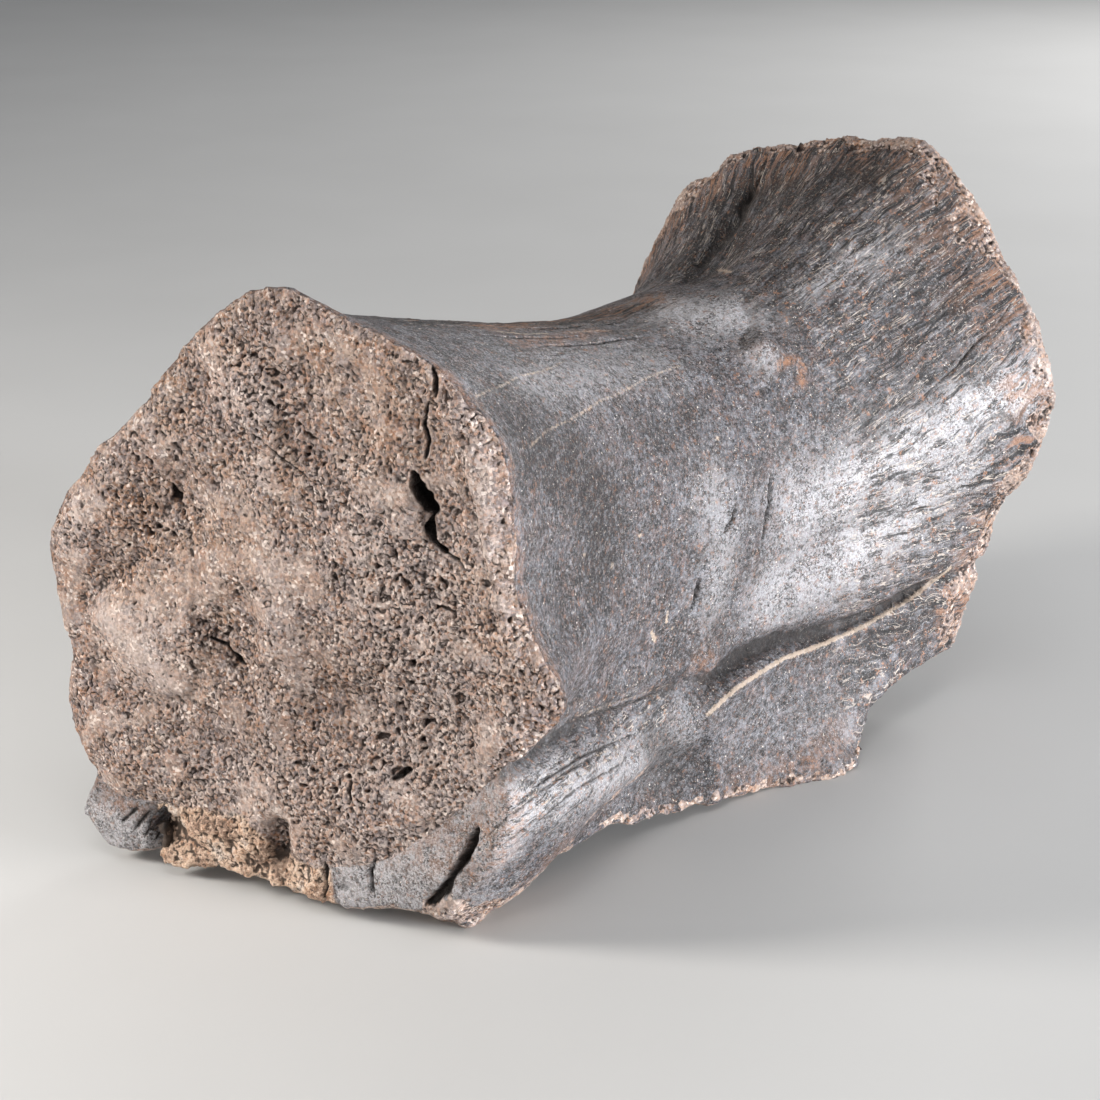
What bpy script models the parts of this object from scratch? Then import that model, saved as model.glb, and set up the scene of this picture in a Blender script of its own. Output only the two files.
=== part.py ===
"""Fossil tail vertebra of a large dinosaur, life size, lying upside down on its broken neural arch.

The near end face looks along -X, the camera side of the bone is -Y and up is +Z.
Sizes are written in millimetres and turned into metres where the meshes are made.
Every section of the bone is given as "across" (positive towards the camera side) and "up",
both measured from the long axis of the centrum.
"""

import math

import bmesh
import bpy
import numpy as np

MM = 0.001
OBJECT_NAME = "fossil_vertebra"

# Driving sizes of the whole bone.
LENGTH = 150.0
NEAR_FACE_YAW = math.radians(12.0)
FLOOR_LEVEL = -55.0
SEAM = 0.3
NEAR_PLATE = 7.0
FAR_PLATE = 7.0

# Mesh density: points round a section, stations along the centrum, points of an arch wall section.
ROUND_POINTS = 96
SHAFT_STATIONS = 35
RIGHT_WALL_STATIONS = 50
LEFT_WALL_STATIONS = 36
TOP_POINTS = 8
INNER_POINTS = 4
BOTTOM_POINTS = 6
FLAT_START = 0.6
WEB_DROP = 0.55
WALL_END_DROP = 3.5
OUTER_POINTS = 10
FILL_STATIONS = 40

# Angles between which the underside of the centrum is searched for a given across value.
UNDERSIDE = (200.0, 340.5)

# Outlines of the near rim, the waist and the far rim as (across, up).
NEAR_RIM = (
    (52, -7), (47, 2), (44, 11), (43, 23), (39, 37), (31, 44), (22, 48), (10, 50.5), (-6, 49), (-14, 44),
    (-28, 28), (-37, 19), (-46, 3), (-43, -14), (-44, -28), (-39, -39), (-20, -42), (2, -46), (18, -42),
    (28, -34), (39, -22), (48, -13),
)
WAIST = (
    (33, 2), (31, 15), (24, 25), (14, 29), (0, 29.5), (-14, 26), (-24, 17), (-29, 6), (-31, -10),
    (-29, -27), (-18, -31), (0, -30), (18, -31), (30, -28), (32, -14),
)
FAR_RIM = (
    (57, 6), (58, 15), (55, 23), (46, 37), (37, 49.5), (27, 58), (14, 57), (-10, 54), (-19, 51), (-24, 45),
    (-30, 42.5), (-37, 31), (-43, 19), (-49, 2), (-47, -16), (-37, -29), (-18, -33), (2, -32), (25, -32),
    (38, -27), (45, -22), (47, -13), (54, -2),
)

# How each flare runs into the waist, keyed by the angle round the axis:
# 0 is the camera side, 90 the top, 180 the far side and 270 the bottom.
NEAR_FLARE_END = ((0, 0.50), (90, 0.66), (180, 0.60), (270, 0.60), (360, 0.50))
NEAR_FLARE_POWER = ((0, 2.8), (60, 1.6), (90, 1.3), (180, 1.9), (270, 1.6), (360, 2.8))
FAR_FLARE_START = ((0, 0.48), (90, 0.62), (180, 0.58), (270, 0.50), (360, 0.48))
FAR_FLARE_POWER = ((0, 1.9), (60, 1.7), (90, 1.8), (130, 2.7), (180, 2.6), (270, 1.5), (360, 1.9))

# Valley between the two lobes of the far flare: angle and depth keyed by the distance along.
VALLEY_ANGLE = ((104, 95), (120, 95.5), (136, 96.5), (150, 99.5))
VALLEY_DEPTH = ((106, 0.0), (114, 3.0), (124, 5.0), (138, 4.0), (150, 1.0))
VALLEY_WIDTH = 10.0

# Swellings of the shaft: angle, distance along, half width in degrees, half length, height.
SWELLINGS = (
    ("knob on the near rim", 89, 0, 9, 4, 3.8),
    ("plateau on top", 82, 99, 26, 10, 3.2),
    ("near lobe crest", 62, 128, 15, 14, 2.0),
    ("low ridge down the side", -4, 76, 26, 8, 1.3),
    ("tubercle", 42, 99, 8, 5.5, 2.2),
    ("full lower wall", -30, 114, 15, 20, 4.5),
)

# Relief of the near face: across, up, half width, half height, turn in degrees, rise towards the viewer.
NEAR_RELIEF = (
    ("front of the top knob", 2, 46, 7, 3.5, 0, 1.0),
    ("flat raised flake", -3, 33, 5.5, 8, 0, 1.4),
    ("field beside the flake", 11, 33, 8, 8, 0, -0.8),
    ("upper left facet", -24, 26, 8, 7, 45, 0.9),
    ("upper left hollow", -18.5, 14, 5, 6.5, 0, -2.6),
    ("groove across the left", -32, 0.5, 9.5, 2.8, 41, -2.2),
    ("left rim lobe", -39, 8, 4, 6, -30, 1.5),
    ("pale smooth patch", -26, -9, 10, 6.5, -25, 2.0),
    ("step under the pale patch", -17, -26, 9, 5, -12, -2.0),
    ("lower left hollow", -8, -7.5, 4.2, 6.5, 0, -3.2),
    ("upright ridge", -0.5, -4, 4.2, 14, 0, 1.8),
    ("lower brown hollow", 10, -16, 7, 7, 0, -2.0),
    ("swelling right of the middle", 15, 2, 6, 8, 0, 1.1),
    ("layered patch", 19, 21, 7, 6, 0, 1.1),
    ("broken hollow", 26, -16, 7, 6, 0, -2.4),
    ("groove inside the rim", 31, 25, 3, 15, 12, -1.8),
    ("right rim strip", 41, 10, 3.5, 20, 10, 1.5),
    ("lower right swelling", 40, -17, 6, 6, 0, 0.9),
    ("lower swelling", 8, -35, 12, 5.5, 0, 1.5),
    ("lower left swelling", -33, -30, 7, 7, 0, 1.3),
    ("hollow above the sediment", -14, -37.5, 8, 3, 0, -1.4),
)
EDGE_WEAR = 0.8
EDGE_WEAR_SHARE = 0.06
FRONT_RINGS = (0.97, 0.91, 0.83, 0.74, 0.64, 0.53, 0.41, 0.28, 0.14)

# Shallow dish of the far face, with the shares of the rim's radius at which it has a ring.
FAR_DISH_DEPTH = 4.0
FAR_DISH_RIM = 0.8
FAR_DISH_CURVE = 1.5
DISH_RINGS = (0.95, 0.83, 0.69, 0.54, 0.37, 0.19)

# Relief of the far face, as for the near one; a positive rise is a hollow here.
FAR_RELIEF = (
    ("worn hollow at the top", 6, 36, 9, 7, 0, 1.2),
    ("lump on the camera side lobe", 30, 34, 8, 7, 40, -1.2),
    ("hollow inside the camera side rim", 40, 8, 6, 9, 0, 1.3),
    ("lump under the middle", 10, -18, 9, 6, 0, -1.3),
    ("lower camera side hollow", 30, -14, 8, 6, -30, 1.2),
    ("lump near the middle", 14, 12, 7, 7, 0, -1.1),
    ("hollow beside the middle", -8, 8, 7, 8, 0, 1.2),
    ("lump on the hidden side lobe", -22, 26, 8, 7, -40, -1.3),
    ("hidden side hollow", -34, 2, 6, 9, 0, 1.2),
    ("lower hidden side lump", -24, -16, 8, 6, 20, -1.2),
)

# Camera side arch wall, each value keyed by the distance along the bone.
RIGHT_SEAM_ANGLE = (
    (0, -25), (10, -30), (25, -34), (40, -37.5), (55, -40.5), (66, -41.5), (73, -42), (82, -39.5),
    (93, -39), (106, -39.5), (120, -38), (135, -34), (150, -29),
)
RIGHT_LEDGE_OUT = (
    (0, 42), (15, 42), (30, 39.5), (50, 35), (62, 33), (68, 34.5), (76, 35.5), (91, 35.5),
    (105, 36.5), (118, 38), (133, 40.5), (150, 43.5),
)
RIGHT_LEDGE_UP = (
    (0, -28), (15, -31), (30, -33), (50, -36), (63, -35.5), (70, -33), (77, -31), (91, -29.8),
    (105, -31), (118, -31), (133, -29.5), (150, -27.5),
)
RIGHT_WEB_OUT = (
    (0, 37), (15, 37), (30, 34), (45, 30), (58, 28.5), (66, 30), (74, 33), (88, 34.5), (104, 38), (150, 40.5),
)
RIGHT_FOOT_OUT = (
    (0, 30), (9, 28), (22, 27), (35, 28), (45, 28.5), (54, 30), (71, 32.5), (83, 34.5), (94, 38.5),
    (104, 43), (110, 42), (116, 40), (136, 39), (150, 38),
)
RIGHT_FOOT_IN = ((0, 10), (12, 15), (34, 18), (66, 18), (95, 18), (120, 22), (150, 22))
RIGHT_INNER = ((0, 9), (40, 12), (100, 13), (150, 14))
RIGHT_FOOT_LEVEL = (
    (0, -49), (5, -52), (9.5, FLOOR_LEVEL), (14, FLOOR_LEVEL), (24, -53), (35, -50.8), (45, -49.8),
    (54, -51.5), (71, -52.6), (83, -54.4), (94, FLOOR_LEVEL), (105, FLOOR_LEVEL), (110.5, -52),
    (116, -46.3), (123, -44.6), (136, -43.3), (150, -43.7),
)
RIGHT_INNER_LEVEL = ((0, -52), (8, -53), (20, -51), (40, -47), (95, -49), (112, -47), (120, -43), (150, -41))

# Hidden side arch wall; its across values are sizes too and are turned to the other side later.
LEFT_SEAM_ANGLE = ((0, 225), (10, 222), (46, 222), (75, 222), (110, 219), (150, 214))
LEFT_LEDGE_OUT = ((0, 41.5), (10, 43), (30, 37), (60, 33.5), (90, 35), (120, 38), (150, 41))
LEFT_LEDGE_UP = ((0, -46), (12, -40), (30, -36), (60, -34), (90, -31), (120, -31), (150, -30))
LEFT_WEB_OUT = ((0, 41), (12, 40), (30, 33), (60, 29), (90, 33), (120, 36), (150, 38))
LEFT_FOOT_OUT = ((0, 38), (12, 36), (30, 29), (60, 29), (84, 35), (104, 38), (120, 36), (150, 35))
LEFT_FOOT_IN = ((0, 30), (12, 26), (34, 19), (66, 18), (95, 19), (120, 20), (150, 21))
LEFT_INNER = ((0, 27), (14, 23), (40, 17), (100, 14), (150, 14))
LEFT_FOOT_LEVEL = (
    (0, -52.5), (6, -53.5), (14, -52), (30, -49), (48, -49), (66, -52), (78, FLOOR_LEVEL), (98, FLOOR_LEVEL),
    (108, -52), (120, -46), (134, -44), (150, -43.5),
)
LEFT_INNER_LEVEL = ((0, -51.5), (10, -52), (24, -49), (45, -46.5), (88, -49), (110, -46), (150, -41))

# Sediment in the neural canal: level of its underside, keyed by the distance along.
FILL_BOTTOM = ((0, -51.8), (6, -52.6), (14, -50), (30, -44), (60, -43), (95, -45), (125, -44), (150, -42))
FILL_LUMP = 1.3
FILL_WAVES = (0.21, 0.37)
FILL_CROSS_WAVES = (9.0, 4.0)
FILL_SIDE_POINTS = 4
FILL_BOTTOM_POINTS = 9

# Colours (linear), roughness and metallic value of the three materials.
POLISHED_BONE = ("polished_bone", (0.080, 0.076, 0.080, 1.0), 0.42, 0.0)
WORN_BONE = ("worn_bone", (0.270, 0.200, 0.160, 1.0), 0.75, 0.0)
SEDIMENT = ("sediment", (0.290, 0.205, 0.150, 1.0), 0.85, 0.0)


def follow(keys, at):
    """Smooth value at one or many places, through (place, value) keys, without overshoot."""
    places = np.array([key[0] for key in keys], dtype=float)
    values = np.array([key[1] for key in keys], dtype=float)
    spans = np.diff(places)
    slopes = np.diff(values) / spans
    tangents = np.zeros(len(places))
    tangents[0] = slopes[0]
    tangents[-1] = slopes[-1]
    for i in range(1, len(places) - 1):
        before = slopes[i - 1]
        after = slopes[i]
        if before * after > 0:
            tangents[i] = 2.0 * before * after / (before + after)
    at = np.asarray(at, dtype=float)
    i = np.clip(np.searchsorted(places, at, side="right") - 1, 0, len(spans) - 1)
    t = np.clip((at - places[i]) / spans[i], 0.0, 1.0)
    start = values[i] * (1 + 2 * t) * (1 - t) ** 2 + tangents[i] * spans[i] * t * (1 - t) ** 2
    end = values[i + 1] * t * t * (3 - 2 * t) + tangents[i + 1] * spans[i] * t * t * (t - 1)
    return start + end


def polar_keys(outline):
    """Turn an outline into (angle, radius) keys that run from below 0 to above 360 degrees."""
    turned = [(math.degrees(math.atan2(up, across)) % 360.0, math.hypot(across, up)) for across, up in outline]
    turned.sort()
    before = [(angle - 360.0, radius) for angle, radius in turned[-3:]]
    after = [(angle + 360.0, radius) for angle, radius in turned[:3]]
    return before + turned + after


NEAR_KEYS = polar_keys(NEAR_RIM)
WAIST_KEYS = polar_keys(WAIST)
FAR_KEYS = polar_keys(FAR_RIM)


def bell(distance, half_width):
    """Soft bump that is 1 in the middle and nearly 0 past twice its half width."""
    return np.exp(-0.7 * (distance / half_width) ** 2)


def turn_between(angle, centre):
    """Smallest signed turn in degrees from one angle to another."""
    return (angle - centre + 180.0) % 360.0 - 180.0


def centrum_radius(angle, along):
    """Distance from the axis to the side of the centrum, in mm, at an angle in degrees."""
    angle = np.asarray(angle, dtype=float) % 360.0
    share = np.asarray(along, dtype=float) / LENGTH
    waist = follow(WAIST_KEYS, angle)
    near_end = follow(NEAR_FLARE_END, angle)
    near_part = np.clip(1.0 - share / near_end, 0.0, 1.0) ** follow(NEAR_FLARE_POWER, angle)
    far_start = follow(FAR_FLARE_START, angle)
    far_part = np.clip((share - far_start) / (1.0 - far_start), 0.0, 1.0) ** follow(FAR_FLARE_POWER, angle)
    radius = waist
    radius = radius + (follow(NEAR_KEYS, angle) - waist) * near_part
    radius = radius + (follow(FAR_KEYS, angle) - waist) * far_part
    valley_turn = turn_between(angle, follow(VALLEY_ANGLE, along))
    radius = radius - follow(VALLEY_DEPTH, along) * bell(valley_turn, VALLEY_WIDTH)
    for _, centre, place, half_angle, half_length, height in SWELLINGS:
        round_it = bell(turn_between(angle, centre), half_angle)
        radius = radius + height * round_it * bell(along - place, half_length)
    return radius


def place_in_section(across, up, along, rise=0.0):
    """World point in mm of a section point; sections turn from the yawed near face to the square far face."""
    share = along / LENGTH
    yaw_here = (1.0 - share) * math.tan(NEAR_FACE_YAW)
    x = -LENGTH / 2 + along + yaw_here * across - rise
    return np.stack(np.broadcast_arrays(x, -across, up), axis=-1)


def side_ring(along, shrink=1.0, rise=None):
    """One closed ring round the centrum, scaled towards the axis by shrink."""
    angles = np.arange(ROUND_POINTS) * 360.0 / ROUND_POINTS
    radius = centrum_radius(angles, along) * shrink
    across = radius * np.cos(np.radians(angles))
    up = radius * np.sin(np.radians(angles))
    lift = 0.0 if rise is None else rise(across, up, shrink)
    return place_in_section(across, up, along, lift)


def relief_rise(relief, across, up):
    """Sum of soft bumps and hollows, each turned by its own angle."""
    rise = np.zeros_like(across)
    for _, centre_across, centre_up, half_across, half_up, turn, height in relief:
        cosine = math.cos(math.radians(turn))
        sine = math.sin(math.radians(turn))
        long_way = (across - centre_across) * cosine + (up - centre_up) * sine
        short_way = (up - centre_up) * cosine - (across - centre_across) * sine
        rise = rise + height * bell(long_way, half_across) * bell(short_way, half_up)
    return rise


def near_face_rise(across, up, shrink):
    """Relief of the worn near face, with its edge rubbed back a little."""
    inside = np.clip((1.0 - shrink) / EDGE_WEAR_SHARE, 0.0, 1.0)
    return (relief_rise(NEAR_RELIEF, across, up) + EDGE_WEAR) * inside - EDGE_WEAR / 2


def far_face_rise(across, up, shrink):
    """Shallow dish of the far face, behind a worn rim; a positive rise is towards the near end."""
    dish = np.clip((FAR_DISH_RIM - shrink) / FAR_DISH_RIM, 0.0, 1.0)
    inside = np.clip((1.0 - shrink) / EDGE_WEAR_SHARE, 0.0, 1.0)
    relief = relief_rise(FAR_RELIEF, across, up) * inside
    return FAR_DISH_DEPTH * np.sin(dish * math.pi / 2) ** FAR_DISH_CURVE + relief


def finish_object(name, bm, material):
    """Close up a bmesh with outward faces, give it its material and link it to the part's collection."""
    bmesh.ops.triangulate(bm, faces=bm.faces[:])
    bmesh.ops.recalc_face_normals(bm, faces=bm.faces[:])
    mesh = bpy.data.meshes.new(name)
    bm.to_mesh(mesh)
    bm.free()
    mesh.materials.append(material)
    thing = bpy.data.objects.new(name, mesh)
    bpy.data.collections[OBJECT_NAME].objects.link(thing)
    return thing


def skin_rings(bm, rings):
    """Join a run of rings, each with the same number of points, by bands of quads."""
    rows = [[bm.verts.new(point * MM) for point in ring] for ring in rings]
    for first, second in zip(rows, rows[1:]):
        for i in range(len(first)):
            j = (i + 1) % len(first)
            bm.faces.new((first[i], first[j], second[j], second[i]))
    return rows


def close_with_point(bm, row, point):
    """Close an end ring with a fan to one point."""
    tip = bm.verts.new(point * MM)
    for i in range(len(row)):
        bm.faces.new((row[i], row[(i + 1) % len(row)], tip))


def close_ends(bm, rows, rings, drop):
    """Close both ends of a skin with fans to a point a little under the middle of each end section."""
    lower = np.array((0.0, 0.0, drop))
    close_with_point(bm, rows[0], rings[0].mean(axis=0) - lower)
    close_with_point(bm, rows[-1], rings[-1].mean(axis=0) - lower)


def make_near_face(material):
    """Worn near articular face: a plate with relief in front and a flat back at the seam."""
    back_to_rim = [side_ring(NEAR_PLATE * share) for share in (1.0, 0.6, 0.25)]
    rim = side_ring(0.0, 1.0, near_face_rise)
    front = [side_ring(0.0, shrink, near_face_rise) for shrink in FRONT_RINGS]
    bm = bmesh.new()
    rows = skin_rings(bm, back_to_rim + [rim] + front)
    close_with_point(bm, rows[0], place_in_section(0.0, 0.0, NEAR_PLATE))
    middle_rise = near_face_rise(np.zeros(1), np.zeros(1), 0.0)[0]
    close_with_point(bm, rows[-1], place_in_section(0.0, 0.0, 0.0, middle_rise))
    return finish_object("articular_face_near", bm, material)


def make_shaft(material):
    """Hourglass body of the centrum between the two seams."""
    start = NEAR_PLATE + SEAM
    end = LENGTH - FAR_PLATE - SEAM
    rings = [side_ring(along) for along in np.linspace(start, end, SHAFT_STATIONS)]
    bm = bmesh.new()
    rows = skin_rings(bm, rings)
    close_with_point(bm, rows[0], place_in_section(0.0, 0.0, start))
    close_with_point(bm, rows[-1], place_in_section(0.0, 0.0, end))
    return finish_object("centrum", bm, material)


def make_far_face(material):
    """Far articular face: a shallow dish inside the flared rim."""
    to_rim = [side_ring(LENGTH - FAR_PLATE * share) for share in (1.0, 0.55, 0.2, 0.0)]
    dish = [side_ring(LENGTH, shrink, far_face_rise) for shrink in DISH_RINGS]
    bm = bmesh.new()
    rows = skin_rings(bm, to_rim + dish)
    close_with_point(bm, rows[0], place_in_section(0.0, 0.0, LENGTH - FAR_PLATE))
    middle_rise = far_face_rise(np.zeros(1), np.zeros(1), 0.0)[0]
    close_with_point(bm, rows[-1], place_in_section(0.0, 0.0, LENGTH, middle_rise))
    return finish_object("articular_face_far", bm, material)


def angle_under_centrum(across, along):
    """Angle at which the underside of the centrum lies at a given across value."""
    angles = np.arange(UNDERSIDE[0], UNDERSIDE[1], 0.5)
    reach = centrum_radius(angles, along) * np.cos(np.radians(angles))
    return float(np.interp(across, reach, angles))


def seam_points(start_angle, end_angle, along, count):
    """Points just outside the centrum, a seam's width off, from one angle to another."""
    angles = np.linspace(start_angle, end_angle, count)
    radius = centrum_radius(angles, along) + SEAM
    return [(r * math.cos(math.radians(a)), r * math.sin(math.radians(a))) for a, r in zip(angles, radius)]


def line_points(start, end, count):
    """Points between two section points, without the two ends."""
    shares = np.arange(1, count + 1) / (count + 1)
    return [(start[0] + (end[0] - start[0]) * t, start[1] + (end[1] - start[1]) * t) for t in shares]


def wall_section(along, side, sizes):
    """Closed section of an arch wall: under the centrum, down the canal side, foot, and up the outer side."""
    seam_angle = follow(sizes["seam_angle"], along)
    if side > 0:
        seam_angle = seam_angle + 360.0
    inner = side * follow(sizes["inner"], along)
    inner_angle = angle_under_centrum(inner, along)
    top = seam_points(seam_angle, inner_angle, along, TOP_POINTS)
    foot_level = float(follow(sizes["foot_level"], along))
    inner_level = float(follow(sizes["inner_level"], along))
    foot_in = (side * float(follow(sizes["foot_in"], along)), inner_level)
    foot_out = (side * float(follow(sizes["foot_out"], along)), foot_level)
    ledge = (side * float(follow(sizes["ledge_out"], along)), float(follow(sizes["ledge_up"], along)))
    web_level = ledge[1] + WEB_DROP * (foot_level - ledge[1])
    web = (side * float(follow(sizes["web_out"], along)), web_level)
    outer_keys = (foot_out, web, ledge, top[0])
    steps = np.linspace(0, len(outer_keys) - 1, OUTER_POINTS + 1)[:-1]
    outer_across = follow([(i, key[0]) for i, key in enumerate(outer_keys)], steps)
    outer_up = follow([(i, key[1]) for i, key in enumerate(outer_keys)], steps)
    outer = list(zip(outer_across, outer_up))
    inside = line_points(top[-1], foot_in, INNER_POINTS)
    shares = np.linspace(0.0, 1.0, BOTTOM_POINTS + 1)[:-1]
    foot_levels = follow(((0.0, inner_level), (FLAT_START, foot_level), (1.0, foot_level)), shares)
    foot = [(foot_in[0] + (foot_out[0] - foot_in[0]) * t, level) for t, level in zip(shares, foot_levels)]
    return np.array(top + inside + foot + outer)


def make_wall(name, side, sizes, stations, material):
    """One base of the broken neural arch, from the near face to the far rim."""
    rings = []
    for along in np.linspace(0.0, LENGTH, stations):
        section = wall_section(along, side, sizes)
        rings.append(place_in_section(section[:, 0], section[:, 1], along))
    bm = bmesh.new()
    rows = skin_rings(bm, rings)
    close_ends(bm, rows, rings, WALL_END_DROP)
    return finish_object(name, bm, material)


def fill_section(along):
    """Section of the sediment between the two arch walls and under the centrum."""
    right = float(follow(RIGHT_INNER, along)) - SEAM
    left = -float(follow(LEFT_INNER, along)) + SEAM
    top = seam_points(angle_under_centrum(left, along), angle_under_centrum(right, along), along, TOP_POINTS)
    level = float(follow(FILL_BOTTOM, along))
    shares = np.linspace(0.0, 1.0, FILL_BOTTOM_POINTS)
    first = np.sin(FILL_CROSS_WAVES[0] * shares + FILL_WAVES[0] * along)
    second = np.cos(FILL_CROSS_WAVES[1] * shares + FILL_WAVES[1] * along)
    lumps = FILL_LUMP * first * second * np.sin(shares * math.pi)
    bottom = [(right + (left - right) * t, level + lump) for t, lump in zip(shares, lumps)]
    down = line_points(top[-1], bottom[0], FILL_SIDE_POINTS)
    up = line_points(bottom[-1], top[0], FILL_SIDE_POINTS)
    return np.array(top + down + bottom + up)


def make_fill(material):
    """Hardened sediment that plugs the neural canal."""
    rings = []
    for along in np.linspace(0.0, LENGTH, FILL_STATIONS):
        section = fill_section(along)
        rings.append(place_in_section(section[:, 0], section[:, 1], along))
    bm = bmesh.new()
    rows = skin_rings(bm, rings)
    close_ends(bm, rows, rings, 0.0)
    return finish_object("canal_sediment", bm, material)


def make_material(name, colour, roughness, metallic):
    """Principled material with one colour."""
    material = bpy.data.materials.new(name)
    material.use_nodes = True
    shader = material.node_tree.nodes["Principled BSDF"]
    shader.inputs["Base Color"].default_value = colour
    shader.inputs["Roughness"].default_value = roughness
    shader.inputs["Metallic"].default_value = metallic
    material.diffuse_color = colour
    return material


def clear_scene():
    """Start from an empty scene."""
    for thing in list(bpy.data.objects):
        bpy.data.objects.remove(thing, do_unlink=True)
    collection = bpy.data.collections.new(OBJECT_NAME)
    bpy.context.scene.collection.children.link(collection)


def rest_on_origin(things):
    """Hang every mesh on one empty that puts the bottom centre of their common box on the world origin."""
    places = [[vertex.co[:] for vertex in thing.data.vertices] for thing in things]
    points = np.concatenate([np.array(place) for place in places])
    low = points.min(axis=0)
    high = points.max(axis=0)
    axis_empty = bpy.data.objects.new("centrum_axis", None)
    bpy.data.collections[OBJECT_NAME].objects.link(axis_empty)
    axis_empty.location = (-(low[0] + high[0]) / 2, -(low[1] + high[1]) / 2, -low[2])
    for thing in things:
        thing.parent = axis_empty
    bpy.context.view_layer.update()
    print("size in mm", ((high - low) / MM).round(2))
    print("axis of the centrum in mm", [round(value / MM, 3) for value in axis_empty.location])


def main():
    clear_scene()
    polished = make_material(*POLISHED_BONE)
    worn = make_material(*WORN_BONE)
    sediment = make_material(*SEDIMENT)
    right_sizes = {
        "seam_angle": RIGHT_SEAM_ANGLE, "ledge_out": RIGHT_LEDGE_OUT, "ledge_up": RIGHT_LEDGE_UP,
        "web_out": RIGHT_WEB_OUT, "foot_out": RIGHT_FOOT_OUT, "foot_in": RIGHT_FOOT_IN,
        "inner": RIGHT_INNER, "foot_level": RIGHT_FOOT_LEVEL, "inner_level": RIGHT_INNER_LEVEL,
    }
    left_sizes = {
        "seam_angle": LEFT_SEAM_ANGLE, "ledge_out": LEFT_LEDGE_OUT, "ledge_up": LEFT_LEDGE_UP,
        "web_out": LEFT_WEB_OUT, "foot_out": LEFT_FOOT_OUT, "foot_in": LEFT_FOOT_IN,
        "inner": LEFT_INNER, "foot_level": LEFT_FOOT_LEVEL, "inner_level": LEFT_INNER_LEVEL,
    }
    things = [
        make_near_face(worn),
        make_shaft(polished),
        make_far_face(worn),
        make_wall("pedicle_camera_side", 1, right_sizes, RIGHT_WALL_STATIONS, polished),
        make_wall("pedicle_hidden_side", -1, left_sizes, LEFT_WALL_STATIONS, polished),
        make_fill(sediment),
    ]
    rest_on_origin(things)


main()
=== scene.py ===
"""Fossil tail vertebra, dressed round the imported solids.

The sculpting is done in millimetres from the long axis of the centrum, the meshes in the scene are in metres.
"across" is positive towards the camera side, "up" is up, "along" runs from the near face to the far rim.
Marks that the photograph shows are given by their place in its 1100 x 1100 frame and are cast on the bone.
"""
import math

import bmesh
import bpy
import numpy as np
from mathutils import Matrix, Vector
from mathutils.bvhtree import BVHTree


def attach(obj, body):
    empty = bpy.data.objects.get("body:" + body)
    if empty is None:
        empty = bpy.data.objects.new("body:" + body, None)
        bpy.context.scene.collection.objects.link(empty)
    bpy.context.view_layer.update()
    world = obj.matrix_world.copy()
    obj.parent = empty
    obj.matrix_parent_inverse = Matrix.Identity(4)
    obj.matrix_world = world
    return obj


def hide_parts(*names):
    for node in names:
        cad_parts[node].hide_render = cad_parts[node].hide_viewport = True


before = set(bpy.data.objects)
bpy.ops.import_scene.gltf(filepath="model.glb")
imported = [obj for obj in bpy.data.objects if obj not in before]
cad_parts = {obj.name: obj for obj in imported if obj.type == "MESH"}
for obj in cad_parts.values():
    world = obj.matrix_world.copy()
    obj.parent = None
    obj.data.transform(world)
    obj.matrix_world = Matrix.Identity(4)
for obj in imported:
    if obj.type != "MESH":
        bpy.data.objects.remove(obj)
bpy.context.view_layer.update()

MM = 0.001
AXIS_CENTRE = np.array((4.769, 4.498, 55.0))
LENGTH = 150.0
YAW_SLOPE = math.tan(math.radians(12.0))

# Camera of the photograph: direction, distance in mm, focal length in pixels, pixel of the axis centre.
CAMERA_AZIMUTH = math.radians(-50.0)
CAMERA_ELEVATION = math.radians(20.0)
CAMERA_DISTANCE = 480.0
FOCAL_PIXELS = 2600.0
FRAME_PIXELS = 1100.0
AXIS_PIXEL = (570.0, 495.0)
SENSOR_WIDTH = 36.0

# The solids are grown by this much so that they merge across their seams, then meshed on a grid.
GROW = 0.22
GRID = 0.72
SMOOTH_ROUNDS = 14

# A run of pixels is cast in steps of this many pixels. Marks and cracks end this many widths away from it.
PIXEL_STEP = 4
MARK_REACH = 3
CRACK_REACH = 4

# A crack this deep in mm is black. Hollows this deep in mm, over a short and a long way, are fully darkened
# with painted shade and dark dirt.
BLACK_CRACK = 0.6
SMALL_HOLLOW = 0.45
WIDE_HOLLOW = 1.1

# Radius in mm at which the grain is measured round the axis, and the way that the near face looks.
GRAIN_RADIUS = 42.0
TOWARDS_NEAR = np.array((-1.0, -YAW_SLOPE, 0.0)) / math.hypot(1.0, YAW_SLOPE)

RANDOM = np.random.default_rng(11)
SHUFFLE = RANDOM.permutation(256).astype(np.int32)
GRADIENTS = RANDOM.normal(size=(256, 3)).astype(np.float32)
GRADIENTS /= np.linalg.norm(GRADIENTS, axis=1, keepdims=True)
JITTER = RANDOM.random((256, 3)).astype(np.float32)
CHANCE = RANDOM.random(256).astype(np.float32)


# Noise.


def hashed(x, y, z):
    """Number from 0 to 255 for each cell of a lattice."""
    return SHUFFLE[(SHUFFLE[(SHUFFLE[x & 255] + y) & 255] + z) & 255]


def noise(points, size, seed=0.0):
    """Gradient noise between about -1 and 1; size is its wavelength, one number or one for each axis."""
    p = (points / np.asarray(size) + seed * 7.31).astype(np.float32)
    cell = np.floor(p).astype(np.int32)
    f = p - cell
    fade = f * f * f * (f * (f * 6 - 15) + 10)
    total = np.zeros(len(p), dtype=np.float32)
    for corner in range(8):
        d = np.array((corner & 1, corner >> 1 & 1, corner >> 2 & 1), dtype=np.int32)
        weight = np.prod(np.where(d, fade, 1 - fade), axis=1)
        slope = GRADIENTS[hashed(cell[:, 0] + d[0], cell[:, 1] + d[1], cell[:, 2] + d[2])]
        total += weight * np.einsum("ij,ij->i", slope, f - d)
    return total * 1.7


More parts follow.
